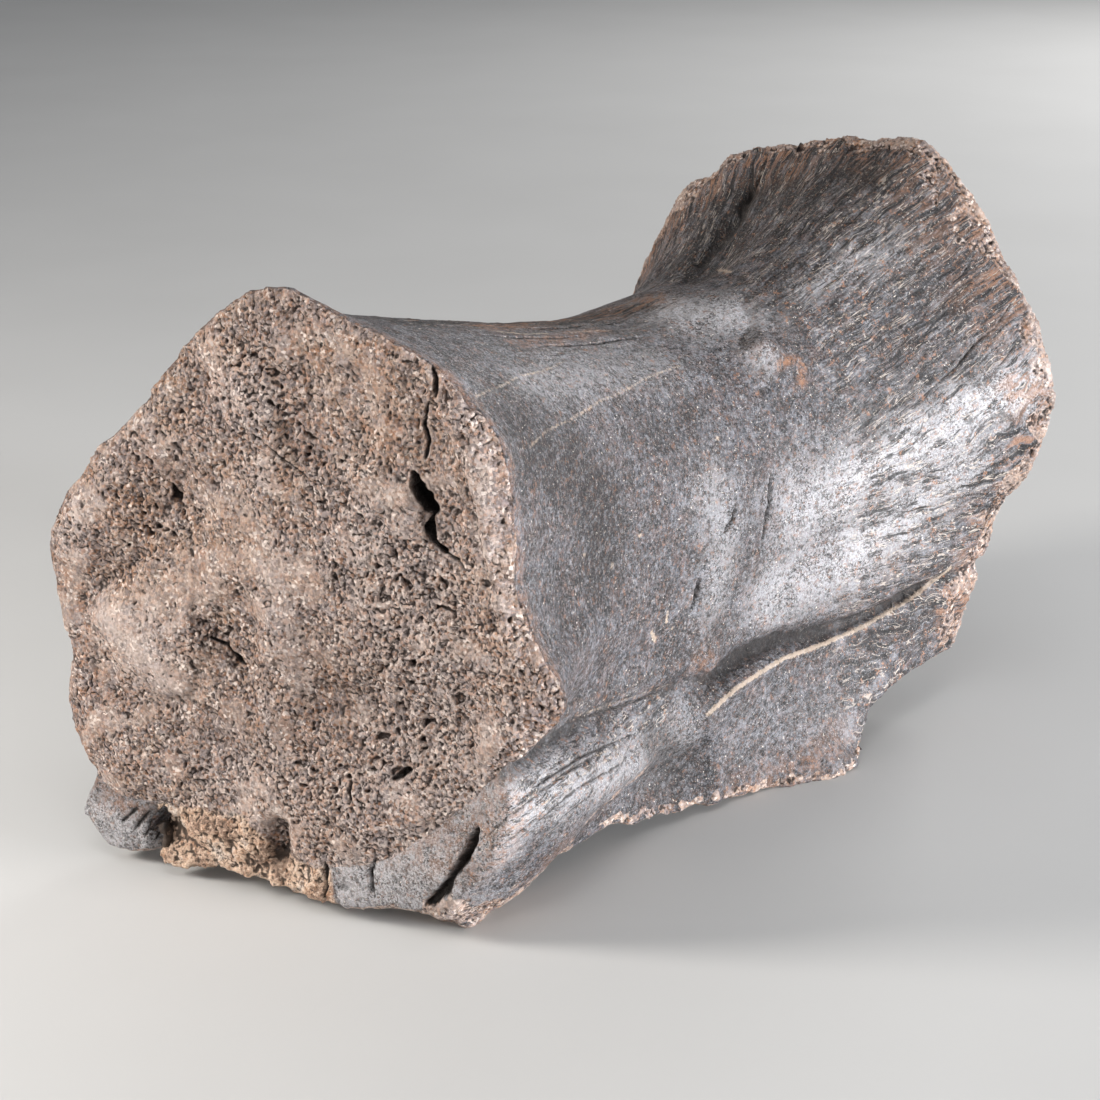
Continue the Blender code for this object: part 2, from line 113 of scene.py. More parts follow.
def drift(points, size, seed):
    """Noise in three directions."""
    return np.stack([noise(points, size, seed + i) for i in range(3)], axis=1)


def cells(points, size, seed=0.0):
    """Distance to the nearest of scattered points, in cells, and that point's own random number."""
    p = (points / np.asarray(size) + seed * 5.17).astype(np.float32)
    base = np.floor(p).astype(np.int32)
    f = p - base
    best = np.full(len(p), 9.0, dtype=np.float32)
    pick = np.zeros(len(p), dtype=np.int32)
    for x in (-1, 0, 1):
        for y in (-1, 0, 1):
            for z in (-1, 0, 1):
                h = hashed(base[:, 0] + x, base[:, 1] + y, base[:, 2] + z)
                gap = JITTER[h] + np.array((x, y, z), dtype=np.float32) - f
                distance = np.einsum("ij,ij->i", gap, gap)
                closer = distance < best
                best[closer] = distance[closer]
                pick[closer] = h[closer]
    return np.sqrt(best), CHANCE[pick]


def step(low, high, value):
    """Smooth step from 0 at low to 1 at high; high may be the lower of the two."""
    t = np.clip((value - low) / (high - low), 0.0, 1.0)
    return t * t * (3 - 2 * t)


def bell(distance, half_width):
    """1 at no distance, about a half at the half width, 0 far away."""
    return np.exp(-0.7 * (distance / half_width) ** 2)


# Mesh arrays.


def edges_of(quads):
    """Unique edges of the quads, and for each quad the numbers of its four edges."""
    first = quads.ravel()
    second = np.roll(quads, -1, axis=1).ravel()
    low = np.minimum(first, second).astype(np.int64)
    high = np.maximum(first, second).astype(np.int64)
    span = int(quads.max()) + 1
    keys, place = np.unique(low * span + high, return_inverse=True)
    return np.stack((keys // span, keys % span), axis=1), place.reshape(quads.shape)


def spread(target, values, count):
    """Sum of values that go to each of count places."""
    sums = [np.bincount(target, weights=column, minlength=count) for column in values.T]
    return np.stack(sums, axis=1)


def relaxed(values, edges, rounds, strength=0.5, back=0.0):
    """Smooth values over the mesh; a negative back step after each keeps the volume."""
    count = len(values)
    a = edges[:, 0]
    b = edges[:, 1]
    degree = np.bincount(a, minlength=count) + np.bincount(b, minlength=count)
    degree = np.maximum(degree, 1)[:, None]
    for _ in range(rounds):
        for weight in (strength, back):
            if weight:
                mean = (spread(a, values[b], count) + spread(b, values[a], count)) / degree
                values = values + weight * (mean - values)
    return values


def normals_of(verts, quads):
    """Unit normal at each vertex."""
    corner = verts[quads]
    face = np.cross(corner[:, 2] - corner[:, 0], corner[:, 3] - corner[:, 1])
    total = spread(quads.ravel(), np.repeat(face, 4, axis=0), len(verts))
    return total / np.maximum(np.linalg.norm(total, axis=1, keepdims=True), 1e-12)


def subdivide(values, quads):
    """Cut each quad into four. Values, the place first, are shared out evenly."""
    edges, place = edges_of(quads)
    count = len(values)
    middle = values[edges].mean(axis=1)
    centre = values[quads].mean(axis=1)
    edge_number = count + place
    face_number = count + len(edges) + np.arange(len(quads))
    rows = []
    for i in range(4):
        rows.append(np.stack((quads[:, i], edge_number[:, i], face_number, edge_number[:, i - 1]), axis=1))
    return np.concatenate((values, middle, centre)), np.concatenate(rows)


def islands(edges, count):
    """Number of the island that each vertex belongs to."""
    label = np.arange(count)
    while True:
        low = np.minimum(label[edges[:, 0]], label[edges[:, 1]])
        new = label.copy()
        np.minimum.at(new, label[edges[:, 0]], low)
        np.minimum.at(new, label[edges[:, 1]], low)
        new = new[new]
        if np.array_equal(new, label):
            return label
        label = new


def largest_island(verts, quads):
    """Keep the outer skin alone."""
    edges, _ = edges_of(quads)
    label = islands(edges, len(verts))
    kept = label == np.bincount(label).argmax()
    number = np.cumsum(kept) - 1
    return verts[kept], number[quads[kept[quads[:, 0]]]]


def main_island(quads, piece, number):
    """Give all but the largest patch of a piece back to the plain bone."""
    some = np.flatnonzero(piece == number)
    used, local = np.unique(quads[some], return_inverse=True)
    local = local.reshape(-1, 4)
    edges, _ = edges_of(local)
    label = islands(edges, len(used))[local[:, 0]]
    piece[some[label != np.bincount(label).argmax()]] = 0


def open_edges(quads):
    """Directed edges that only one quad has, as (from, to) in that quad."""
    first = quads.ravel()
    second = np.roll(quads, -1, axis=1).ravel()
    _, place = edges_of(quads)
    alone = np.bincount(place.ravel())[place.ravel()] == 1
    return np.stack((first[alone], second[alone]), axis=1)


def linked(name, data):
    """New object in the scene."""
    thing = bpy.data.objects.new(name, data)
    bpy.context.scene.collection.objects.link(thing)
    return thing


# The solids, merged into one skin.


def merged_skin():
    """One evenly meshed skin round all solids, and the node that lies under each vertex."""
    points = []
    faces = []
    owner = []
    plain = []
    for name in NODES:
        bm = bmesh.new()
        bm.from_mesh(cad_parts[name].data)
        bmesh.ops.remove_doubles(bm, verts=bm.verts[:], dist=1e-6)
        bm.normal_update()
        start = len(points)
        bm.verts.index_update()
        for vertex in bm.verts:
            points.append(vertex.co + vertex.normal * GROW * MM)
            plain.append(vertex.co.copy())
        for face in bm.faces:
            faces.append([start + vertex.index for vertex in face.verts])
            owner.append(NODES.index(name))
        bm.free()
    mesh = bpy.data.meshes.new("solids")
    mesh.from_pydata(points, [], faces)
    thing = linked("solids", mesh)
    remesh = thing.modifiers.new("grid", "REMESH")
    remesh.mode = "VOXEL"
    remesh.voxel_size = GRID * MM
    depsgraph = bpy.context.evaluated_depsgraph_get()
    result = thing.evaluated_get(depsgraph).data
    verts = np.empty(len(result.vertices) * 3)
    result.vertices.foreach_get("co", verts)
    quads = np.empty(len(result.loops), dtype=np.int32)
    result.loops.foreach_get("vertex_index", quads)
    verts = verts.reshape(-1, 3)
    quads = quads.reshape(-1, 4)
    bpy.data.objects.remove(thing, do_unlink=True)
    bpy.data.meshes.remove(mesh)
    verts, quads = largest_island(verts, quads)
    tree = BVHTree.FromPolygons(plain, faces)
    found = [owner[tree.find_nearest(Vector(v))[2]] for v in verts]
    return verts / MM - AXIS_CENTRE, quads, np.array(found)


NODES = (
    "centrum", "articular_face_near", "articular_face_far", "pedicle_camera_side", "pedicle_hidden_side",
    "canal_sediment",
)
CENTRUM, NEAR, FAR, CAMERA_WALL, HIDDEN_WALL, FILL = range(6)

# Pieces of the dressed bone: name, material slot, nodes that it stands for.
PIECES = (
    ("bone", "polished_bone", ("centrum", "pedicle_camera_side", "pedicle_hidden_side")),
    ("worn_near_face", "worn_bone", ("articular_face_near",)),
    ("worn_far_face", "worn_bone", ("articular_face_far",)),
    ("sediment_plug", "sediment", ("canal_sediment",)),
)

# Points inside the bone on which the near face, the far face and the sediment are shut.
TIPS = np.array(((-45.0, 0.0, 0.0), (60.0, 0.0, 5.0), (0.0, 0.0, -20.0)))
# The strips that lead there go this far straight in first, in mm.
INWARDS = 1.5
# Those of the sediment then close over the canal: share of x, share of y, height.
ROOF = (0.93, 0.6, -30.0)


# Casting marks of the photograph on the bone.


def camera_axes():
    """Right, up and back of the camera."""
    back = np.array((
        math.sin(CAMERA_AZIMUTH) * math.cos(CAMERA_ELEVATION),
        -math.cos(CAMERA_AZIMUTH) * math.cos(CAMERA_ELEVATION),
        math.sin(CAMERA_ELEVATION),
    ))
    right = np.array((math.cos(CAMERA_AZIMUTH), math.sin(CAMERA_AZIMUTH), 0.0))
    return right, np.cross(back, right), back


def camera_place():
    right, up, back = camera_axes()
    scale = CAMERA_DISTANCE / FOCAL_PIXELS
    middle = FRAME_PIXELS / 2
    target = right * (middle - AXIS_PIXEL[0]) * scale + up * (AXIS_PIXEL[1] - middle) * scale
    return target + back * CAMERA_DISTANCE


class Caster:
    """Finds where a line of sight through a pixel meets the bone."""

    def __init__(self, verts, quads):
        self.tree = BVHTree.FromPolygons([Vector(v) for v in verts], quads.tolist())
        self.place = camera_place()
        self.axes = camera_axes()

    def point(self, x, y):
        right, up, back = self.axes
        middle = FRAME_PIXELS / 2
        way = right * (x - middle) + up * (middle - y) - back * FOCAL_PIXELS
        hit = self.tree.ray_cast(Vector(self.place), Vector(way).normalized())[0]
        return None if hit is None else np.array(hit)

    def line(self, run):
        """Points on the bone along a run of pixels, given as x, y, x, y."""
        pixels = list(zip(run[::2], run[1::2]))
        spots = []
        for (x0, y0), (x1, y1) in zip(pixels, pixels[1:] or pixels):
            pieces = max(1, int(math.hypot(x1 - x0, y1 - y0) / PIXEL_STEP))
            for i in range(pieces + 1):
                spot = self.point(x0 + (x1 - x0) * i / pieces, y0 + (y1 - y0) * i / pieces)
                if spot is not None:
                    spots.append(spot)
        return np.array(spots)


def distance_to_line(verts, spots, reach):
    """Distance from each vertex to a run of points, and the share of the run; far ones get a large number."""
    gap = np.full(len(verts), 1e3)
    share = np.zeros(len(verts))
    near = np.all((verts > spots.min(axis=0) - reach) & (verts < spots.max(axis=0) + reach), axis=1)
    some = np.flatnonzero(near)
    if not len(some):
        return gap, share
    here = verts[some]
    best = np.full(len(some), 1e3)
    along = np.zeros(len(some))
    last = max(1, len(spots) - 1)
    for i in range(last):
        start = spots[i]
        end = spots[min(i + 1, len(spots) - 1)]
        way = end - start
        length = float(way @ way)
        t = np.clip((here - start) @ way / length, 0, 1) if length > 1e-9 else np.zeros(len(some))
        distance = np.linalg.norm(here - start - t[:, None] * way, axis=1)
        closer = distance < best
        best[closer] = distance[closer]
        along[closer] = (i + t[closer]) / last
    gap[some] = best
    share[some] = along
    return gap, share


# Large forms: name, amount in mm outwards, radius in mm, pixels as x, y, x, y.
FORMS = (
    ("edge of the flake", -0.5, 1.5, 262, 372, 268, 392, 276, 410, 282, 432),
    ("flaky patch", 0.8, 3.6, 245, 372, 258, 402, 264, 425),
    ("second flake", 0.7, 3.6, 370, 480, 405, 520),
    ("layer in the patch", -0.5, 0.6, 366, 500, 384, 486, 404, 480),
    ("next layer", -0.5, 0.6, 372, 528, 392, 512, 412, 508),
    ("edge of the hollow", -0.8, 1.0, 160, 520, 176, 498, 184, 478),
    ("crease across the left", -0.7, 0.9, 84, 602, 115, 575, 151, 548),
    ("edge of the smooth patch", -0.8, 1.2, 110, 690, 150, 702, 192, 700, 200, 670),
    ("edge of the lower hollow", -0.8, 1.1, 196, 618, 228, 646, 244, 672),
    ("slab beside the crack", 0.6, 2.6, 452, 410, 470, 450, 486, 500),
    ("rim strip", 0.6, 2.2, 478, 450, 495, 520, 506, 600),
    ("rim strip's edge", -0.6, 0.8, 462, 440, 470, 500, 480, 560, 494, 630),
    ("hole in the sediment", -3.5, 1.9, 276, 830, 279, 855),
    ("sediment lump", 0.9, 3.0, 215, 838, 245, 850),
    ("small lump", 0.9, 1.4, 285, 866),
    ("striated recess", -2.2, 2.4, 158, 822, 172, 832),
    ("column of the wall", 1.3, 1.8, 315, 870, 318, 905),
    ("shelf over the rib", -0.5, 1.6, 502, 772, 540, 745, 575, 722, 625, 705, 672, 688),
    ("rib", 0.8, 4.0, 470, 860, 540, 795, 600, 745),
    ("smooth hollow", -0.7, 4.0, 655, 745, 680, 770),
    ("step at the plate", 0.7, 1.6, 712, 722, 712, 760, 714, 800),
    ("start of the groove", -0.45, 1.4, 698, 690, 716, 676, 745, 651, 778, 637),
    ("groove over the ridge", -0.75, 1.6, 740, 656, 778, 637, 822, 629, 866, 614, 918, 586),
    ("long pale ridge", 0.7, 0.9, 708, 715, 738, 688, 782, 660, 823, 645, 866, 626, 908, 601, 950, 570),
    ("dark bump", 1.2, 1.8, 708, 664),
    ("plateau's step", -0.5, 1.2, 742, 292, 750, 318, 744, 345),
    ("pinkish lump", 1.5, 3.2, 762, 350),
    ("hollow round the lump", -0.5, 0.9, 772, 332, 788, 352, 780, 378, 762, 390),
    ("oval", -0.7, 1.5, 796, 374),
    ("valley crease", -1.5, 1.3, 702, 262, 722, 238, 740, 216, 752, 190),
    ("side ridge", 0.6, 4.0, 745, 480, 715, 560, 705, 620),
)
# These have a level top and steep sides.
FLAT_FORMS = ("flaky patch", "second flake", "slab beside the crack", "rim strip")

# Cracks: depth, half width in mm, pixels.
CRACKS = (
    (2.2, 0.45, 433, 366, 435, 380, 434, 398),
    (1.2, 0.36, 428, 403, 424, 425, 429, 440, 426, 458),
    (4.5, 1.25, 414, 474, 420, 490, 428, 502, 436, 513),
    (2.6, 0.65, 434, 512, 430, 524, 433, 541, 447, 553),
    (1.4, 0.4, 447, 553, 458, 560, 466, 572),
    (1.2, 0.4, 351, 780, 349, 792, 353, 804),
    (1.6, 0.6, 392, 780, 402, 773, 412, 768),
    (1.0, 0.35, 211, 637, 228, 645, 240, 660),
    (1.4, 0.6, 238, 655, 243, 664),
    (0.3, 0.25, 262, 442, 285, 460, 309, 479),
    (1.2, 0.45, 173, 484, 180, 500, 187, 508),
    (1.6, 0.35, 325, 862, 327, 880, 325, 898),
    (1.0, 0.25, 376, 858, 371, 872, 373, 894),
    (0.7, 0.42, 138, 808, 122, 822),
    (0.8, 0.42, 150, 811, 134, 830),
    (0.9, 0.42, 161, 814, 145, 836),
    (0.9, 0.42, 171, 817, 156, 840),
    (0.7, 0.36, 470, 334, 520, 338, 580, 337),
    (0.7, 0.36, 500, 326, 560, 329, 620, 322),
    (0.6, 0.34, 540, 346, 600, 343, 640, 336),
    (0.4, 0.34, 505, 822, 560, 776, 600, 752),
    (0.4, 0.34, 520, 838, 575, 790, 625, 762),
    (0.4, 0.34, 500, 850, 540, 815),
    (0.4, 0.34, 530, 790, 580, 757, 630, 735),
    (0.35, 0.32, 545, 832, 590, 795),
    (0.35, 0.32, 485, 838, 520, 806),
    (1.8, 0.48, 771, 474, 769, 505, 762, 540),
    (1.6, 0.48, 700, 578, 696, 597, 689, 615),
    (1.2, 0.42, 737, 503, 733, 520, 722, 536),
    (1.0, 0.36, 744, 214, 757, 184, 765, 162, 770, 140),
    (0.5, 0.18, 985, 257, 971, 262, 962, 275, 944, 291),
    (0.55, 0.2, 1010, 305, 995, 328, 975, 344, 958, 366, 925, 396),
    (0.35, 0.16, 1020, 338, 1005, 360, 992, 372),
    (0.35, 0.16, 958, 300, 935, 322, 915, 345),
    (0.4, 0.16, 890, 465, 889, 480, 892, 488),
    (0.7, 0.25, 888, 143, 889, 153),
    (3.0, 0.8, 478, 830, 470, 848, 460, 866, 448, 884),
    (2.4, 0.95, 455, 874, 443, 892, 430, 904),
    (0.7, 0.2, 1046, 458, 1010, 490, 990, 520),
    (0.8, 0.25, 575, 721, 620, 707, 660, 692),
)

# Painted marks: strength, half width in mm, pixels. First the pale lines and spots.
PALE = (
    (0.6, 0.4, 476, 396, 500, 386, 520, 376, 545, 370, 565, 362),
    (0.6, 0.38, 530, 447, 548, 430, 570, 420, 600, 401, 622, 392, 650, 376, 680, 366),
    (0.35, 0.35, 585, 470, 620, 452, 660, 440),
    (0.4, 0.3, 575, 352, 610, 346, 640, 332, 660, 326),
    (0.45, 0.3, 785, 482, 800, 478, 830, 486, 850, 476, 868, 472),
    (0.95, 0.5, 708, 714, 738, 687, 782, 659, 823, 644, 866, 625, 908, 600, 950, 568),
    (0.5, 0.45, 575, 716, 625, 700, 670, 684),
    (0.55, 0.35, 512, 830, 568, 783, 612, 757),
    (0.55, 0.32, 525, 800, 575, 765, 620, 745),
    (0.45, 0.32, 540, 840, 600, 788),
    (0.45, 0.32, 495, 855, 530, 828),
    (0.8, 0.4, 492, 330, 520, 334, 548, 333),
    (0.7, 0.4, 570, 333, 610, 330),
    (0.5, 0.45, 732, 285, 772, 263, 812, 241, 846, 216, 877, 194),
    (0.45, 0.4, 780, 290, 820, 268, 860, 240, 892, 220),
    (0.45, 0.4, 800, 340, 850, 312, 895, 285, 930, 262),
    (0.45, 0.4, 812, 362, 860, 338, 905, 318),
    (0.7, 0.6, 640, 822, 648, 819),
    (0.9, 0.6, 613, 566),
    (0.9, 0.5, 652, 632, 655, 640),
    (0.8, 0.5, 672, 628),
    (0.8, 0.45, 668, 612, 667, 622),
    (0.8, 0.6, 719, 438),
    (0.6, 0.9, 640, 535),
    (0.8, 0.5, 585, 555),
    (0.8, 0.6, 719, 270, 731, 272),
    (0.8, 0.45, 905, 600, 921, 592),
)

# Rusty stains.
RUST = (
    (1.0, 2.8, 480, 326, 540, 322, 600, 316, 650, 300),
    (0.6, 1.6, 520, 345, 600, 330),
    (0.25, 2.6, 762, 350),
    (1.0, 0.75, 779, 366, 792, 358, 804, 366, 801, 382),
    (0.8, 3.0, 950, 600, 966, 580),
    (0.5, 2.0, 700, 660, 712, 668),
    (0.4, 3.0, 740, 790, 790, 775, 840, 745),
    (0.4, 3.0, 520, 900, 560, 850),
    (0.4, 2.5, 850, 150, 930, 165),
    (0.35, 5.0, 900, 180, 960, 260, 1010, 340),
    (0.9, 5.0, 300, 330, 350, 380, 390, 440),
    (0.9, 4.0, 80, 600, 85, 680, 110, 760),
    (0.8, 4.0, 280, 790, 330, 830, 400, 810),
    (0.5, 2.0, 110, 800, 140, 808),
    (0.8, 6.0, 360, 560, 400, 620, 430, 680),
    (0.8, 5.0, 350, 760, 300, 740, 390, 790),
    (0.7, 4.0, 120, 730, 150, 760),
    (0.6, 4.0, 500, 700, 470, 640),
)

# Where the worn face is full of holes.
SPONGY = (
    (0.75, 7.0, 395, 670, 430, 700, 415, 745),
    (0.55, 6.0, 380, 560, 440, 600),
    (0.6, 6.0, 340, 800, 300, 790),
    (0.6, 5.0, 180, 505, 140, 540),
    (0.5, 4.0, 215, 640, 245, 655),
    (0.6, 4.0, 300, 450, 330, 470),
    (0.4, 9.0, 150, 440, 200, 400, 260, 380),
)
# Where the outer bone is worn through along edges and rims.
WORN = (
    (0.65, 1.3, 600, 824, 690, 803, 760, 786, 850, 772, 860, 745),
    (1.0, 2.6, 436, 908, 480, 918, 512, 898),
    (0.9, 2.4, 968, 560, 952, 600, 945, 640),
    (0.75, 1.1, 1046, 400, 1040, 440, 1005, 482, 988, 520, 985, 560),
    (0.8, 1.6, 318, 870, 318, 910),
    (0.7, 1.5, 690, 180, 720, 165, 745, 150),
    (0.8, 1.6, 850, 142, 905, 142, 950, 170, 975, 205, 1000, 250),
    (0.55, 3.0, 925, 178, 948, 212, 970, 245),
)
# Where the outer bone has lines along the rib, and where along the bone.
RIB = ((1.0, 5.0, 478, 852, 540, 795, 600, 745, 655, 712),)
LINED = (
    (1.0, 4.5, 400, 322, 480, 322, 560, 324, 640, 306),
    (0.4, 4.5, 500, 350, 580, 350, 650, 330),
)
# Where the sediment covers the worn face.
SANDY = (
    (1.0, 3.4, 188, 828, 222, 836, 252, 846),
    (1.0, 2.2, 180, 822, 200, 820),
)
# Where the worn face has a smooth crust.
SLEEK = (
    (0.9, 3.6, 150, 600, 185, 590, 215, 585),
    (0.8, 3.0, 190, 560, 250, 560, 290, 575),
    (0.7, 3.0, 150, 440, 170, 470),
    (0.7, 3.0, 70, 600, 90, 640),
    (0.7, 3.5, 230, 500, 250, 530),
    (1.0, 4.5, 105, 615, 140, 655, 172, 685),
    (0.7, 3.0, 272, 560, 284, 620, 298, 680),
    (0.5, 2.2, 476, 450, 494, 520, 506, 610),
    (0.6, 3.0, 380, 490, 400, 515),
    (0.5, 6.0, 320, 350, 380, 420),
)
# Where the bone is lighter: its own pale and scuffed places, such as the pinkish lump, the knob and the
# smooth patch, and painted light and painted sheen on the shaft, the plateau, the rib, the pedicle's front
# and the low and right parts of the near face.
LIGHTER_AND_PAINTED_LIGHT = (
    (0.7, 3.2, 762, 350),
    # Painted sheen and painted light on the lower side, the far rim and the top of the shaft.
    (1.0, 5.0, 960, 410, 1000, 400, 1030, 380),
    (0.85, 7.0, 800, 510, 850, 485, 900, 455, 950, 430),
    (0.75, 7.0, 780, 590, 840, 560, 900, 520, 960, 470),
    (0.5, 4.5, 712, 490, 725, 540, 715, 600),
    (0.4, 4.5, 530, 385, 600, 372, 660, 362),
    # Painted light on the plateau.
    (0.85, 6.0, 670, 310, 735, 318),
    (0.5, 2.5, 800, 295, 840, 268, 865, 250),
    (0.45, 4.0, 850, 260, 880, 245, 900, 235),
    (0.9, 3.5, 105, 815, 140, 830),
    (0.75, 4.2, 108, 620, 140, 660, 168, 688),
    (0.6, 3.5, 375, 490, 402, 520),
    (0.5, 3.0, 284, 600, 296, 680),
    # Painted light on the pedicle's front and on the low and right parts of the near face.
    (1.0, 8.0, 350, 885, 385, 875, 430, 862),
    (0.85, 10.0, 380, 540, 420, 620, 430, 720),
    (0.65, 8.0, 220, 770, 300, 790, 400, 790),
    (0.4, 4.0, 330, 620, 370, 600),
    # Painted light on the rib, the wall below it and the plate.
    (0.8, 6.0, 440, 800, 500, 800, 480, 850, 560, 770),
    (0.6, 5.0, 560, 790, 620, 770, 680, 740),
    (0.15, 7.0, 750, 720, 830, 730),
    (0.6, 2.5, 420, 800, 455, 775, 490, 720),
    (1.0, 5.0, 92, 815, 115, 828, 145, 835),
)
# Where it is darker: mostly painted shade in grooves, creases, holes and recesses, in the valley and on the
# far lobes, in the middle of the shaft and along its top edge, partly the bone's own darker patches.
DARKER_AND_PAINTED_SHADE = (
    # Painted shade in hollows of the near face and under its steps.
    (0.6, 5.0, 305, 650, 330, 705),
    (0.6, 3.5, 175, 495, 195, 475),
    (0.6, 3.5, 225, 650, 245, 665),
    (0.5, 5.0, 180, 715, 240, 740, 300, 720, 345, 740),
    (0.5, 4.0, 240, 320, 290, 310),
    # Painted shade in the recess, the hole, along the crack, under the shelf and in the groove.
    (0.8, 2.2, 158, 822, 172, 832),
    (0.9, 2.0, 276, 830, 279, 855),
    (0.8, 0.6, 474, 835, 468, 850, 458, 868, 436, 900),
    (0.7, 1.6, 505, 772, 540, 745, 575, 722),
    (1.0, 1.8, 705, 684, 745, 651, 778, 637, 822, 627, 866, 611, 915, 584),
    (0.7, 2.2, 860, 640, 900, 625, 930, 610),
    (0.7, 4.5, 655, 745, 680, 770),
    # Painted shade in the valley, on the far lobes and on the near lobe's top.
    (1.0, 6.5, 690, 262, 715, 232, 745, 205, 790, 180),
    (0.8, 6.0, 790, 200, 850, 175, 900, 180),
    (0.6, 6.0, 840, 165, 900, 175, 950, 210),
    # Painted shade in the middle of the shaft.
    (1.0, 7.0, 530, 440, 570, 470, 600, 500, 600, 560),
    (0.5, 5.0, 640, 430, 690, 420),
    (0.6, 6.0, 880, 170, 930, 190, 900, 210),
    (0.45, 5.0, 545, 540, 560, 620),
    (0.45, 5.0, 900, 345, 950, 310, 990, 270),
    (0.5, 3.0, 870, 420, 920, 390, 960, 360),
    (1.0, 2.6, 400, 322, 480, 322, 560, 324, 640, 306),
    (1.0, 2.0, 700, 266, 722, 238, 745, 212, 760, 180),
    (0.5, 4.0, 850, 215, 930, 235, 980, 300),
)
# Patches of the side that the photograph doesn't show: field, strength, size in mm, seed.
PATCHES = (("light", 0.6, 24.0, 84.0), ("shade", 0.6, 21.0, 85.0), ("rust", 0.4, 15.0, 86.0))


def section_place(verts):
    """Across, up, distance along the bone and angle round its axis."""
    across = -verts[:, 1]
    up = verts[:, 2]
    slope = YAW_SLOPE * across
    along = (verts[:, 0] + LENGTH / 2 - slope) / (1 - slope / LENGTH)
    return across, up, along, np.degrees(np.arctan2(up, across))


def strokes(verts, caster, marks, seed, uneven=0.3, size=4.0):
    """Weight of painted marks, 0 to 1; noise of this size makes their edges uneven."""
    wobble = 1 + uneven * noise(verts, size, seed)
    total = np.zeros(len(verts))
    for strength, radius, *pixels in marks:
        spots = caster.line(pixels)
        if not len(spots):
            continue
        gap, _ = distance_to_line(verts, spots, radius * MARK_REACH)
        total = np.maximum(total, strength * bell(gap * wobble, radius))
    return total


def shape_forms():
    """The merged skin with its larger forms, and how much of each node is under each vertex."""
    verts, quads, owner = merged_skin()
    edges, _ = edges_of(quads)
    verts = relaxed(verts, edges, SMOOTH_ROUNDS, 0.55, -0.57)
    belongs = relaxed(np.eye(len(NODES))[owner], edges, 6)
    caster = Caster(verts, quads)
    normals = normals_of(verts, quads)
    _, _, along, _ = section_place(verts)
    move = np.zeros(len(verts))
    uneven = 1 + 0.25 * noise(verts, 5.0, 3.0)
    for name, amount, radius, *pixels in FORMS:
        gap, _ = distance_to_line(verts, caster.line(pixels), radius * MARK_REACH)
        gap = gap * uneven
        move += amount * (step(radius * 1.2, radius * 0.8, gap) if name in FLAT_FORMS else bell(gap, radius))
    rim = bell(along, 3.5) + bell(along - LENGTH, 4.0)
    move += rim * (0.55 * noise(verts, 8.0, 1.0) + 0.3 * noise(verts, 3.5, 2.0))
    walls = belongs[:, CAMERA_WALL] + belongs[:, HIDDEN_WALL]
    low = walls * step(-46.0, -51.0, verts[:, 2])
    move += low * (0.6 * noise(verts, 6.0, 4.0) + 0.35 * noise(verts, 3.0, 5.0))
    fill = belongs[:, FILL]
    move += fill * (1.2 * noise(verts, 9.0, 6.0) + 0.7 * noise(verts, 4.5, 7.0))
    verts = verts + normals * move[:, None]
    verts = relaxed(verts, edges, 2, 0.5, -0.5)
    return verts, quads, belongs, Caster(verts, quads)


def share_between(verts, normals, belongs):
    """How far each vertex is worn near face, worn far face, broken wall and sediment."""
    _, _, along, _ = section_place(verts)
    front = normals @ TOWARDS_NEAR
    near = step(0.3, 0.62, front + 0.1 * noise(verts, 4.0, 8.0)) * step(0.35, 0.65, belongs[:, NEAR])
    far = step(0.3, 0.62, normals[:, 0] + 0.1 * noise(verts, 4.0, 9.0)) * step(0.35, 0.65, belongs[:, FAR])
    walls = belongs[:, CAMERA_WALL] + belongs[:, HIDDEN_WALL]
    under = step(0.45, 0.8, -normals[:, 2] + 0.15 * noise(verts, 5.0, 10.0))
    behind = step(0.4, 0.75, normals[:, 0]) * step(138.0, 144.0, along)
    broken = walls * np.maximum(under, behind)
    sediment = step(0.35, 0.65, belongs[:, FILL])
    return near, far, broken, sediment


def grain_place(verts):
    """Place measured along and across the grain of the bone, without a seam round it."""
    _, _, along, angle = section_place(verts)
    twist = 0.4 * np.clip(along - 100.0, 0, None) * bell(angle - 24.0, 20.0)
    twist = twist - 0.35 * np.clip(40.0 - along, 0, None) * bell(angle + 42.0, 12.0)
    turn = np.radians(angle - twist)
    return np.stack((along, GRAIN_RADIUS * np.cos(turn), GRAIN_RADIUS * np.sin(turn)), axis=1)


def rib_axes(caster):
    """Turns places into distances along the rib and across it."""
    spots = caster.line(RIB[0][2:])
    way = (spots[-1] - spots[0]) / np.linalg.norm(spots[-1] - spots[0])
    beside = np.cross(way, (0.0, 0.0, 1.0))
    beside /= np.linalg.norm(beside)
    return np.stack((way, beside, np.cross(way, beside)), axis=1)


def pits(points, size, radius, chance, seed):
    """Depth, 0 to 1, of round pits scattered over the surface."""
    gap, luck = cells(points, size, seed)
    wide = radius * (0.55 + 0.9 * ((luck * 7.7) % 1.0))
    return step(wide, wide * 0.3, gap * size) * (luck < chance)


def ridged(points, size, seed):
    """Sharp crests round rounded hollows, from about -1 to 1."""
    return 1 - 3.2 * np.abs(noise(points, size, seed))


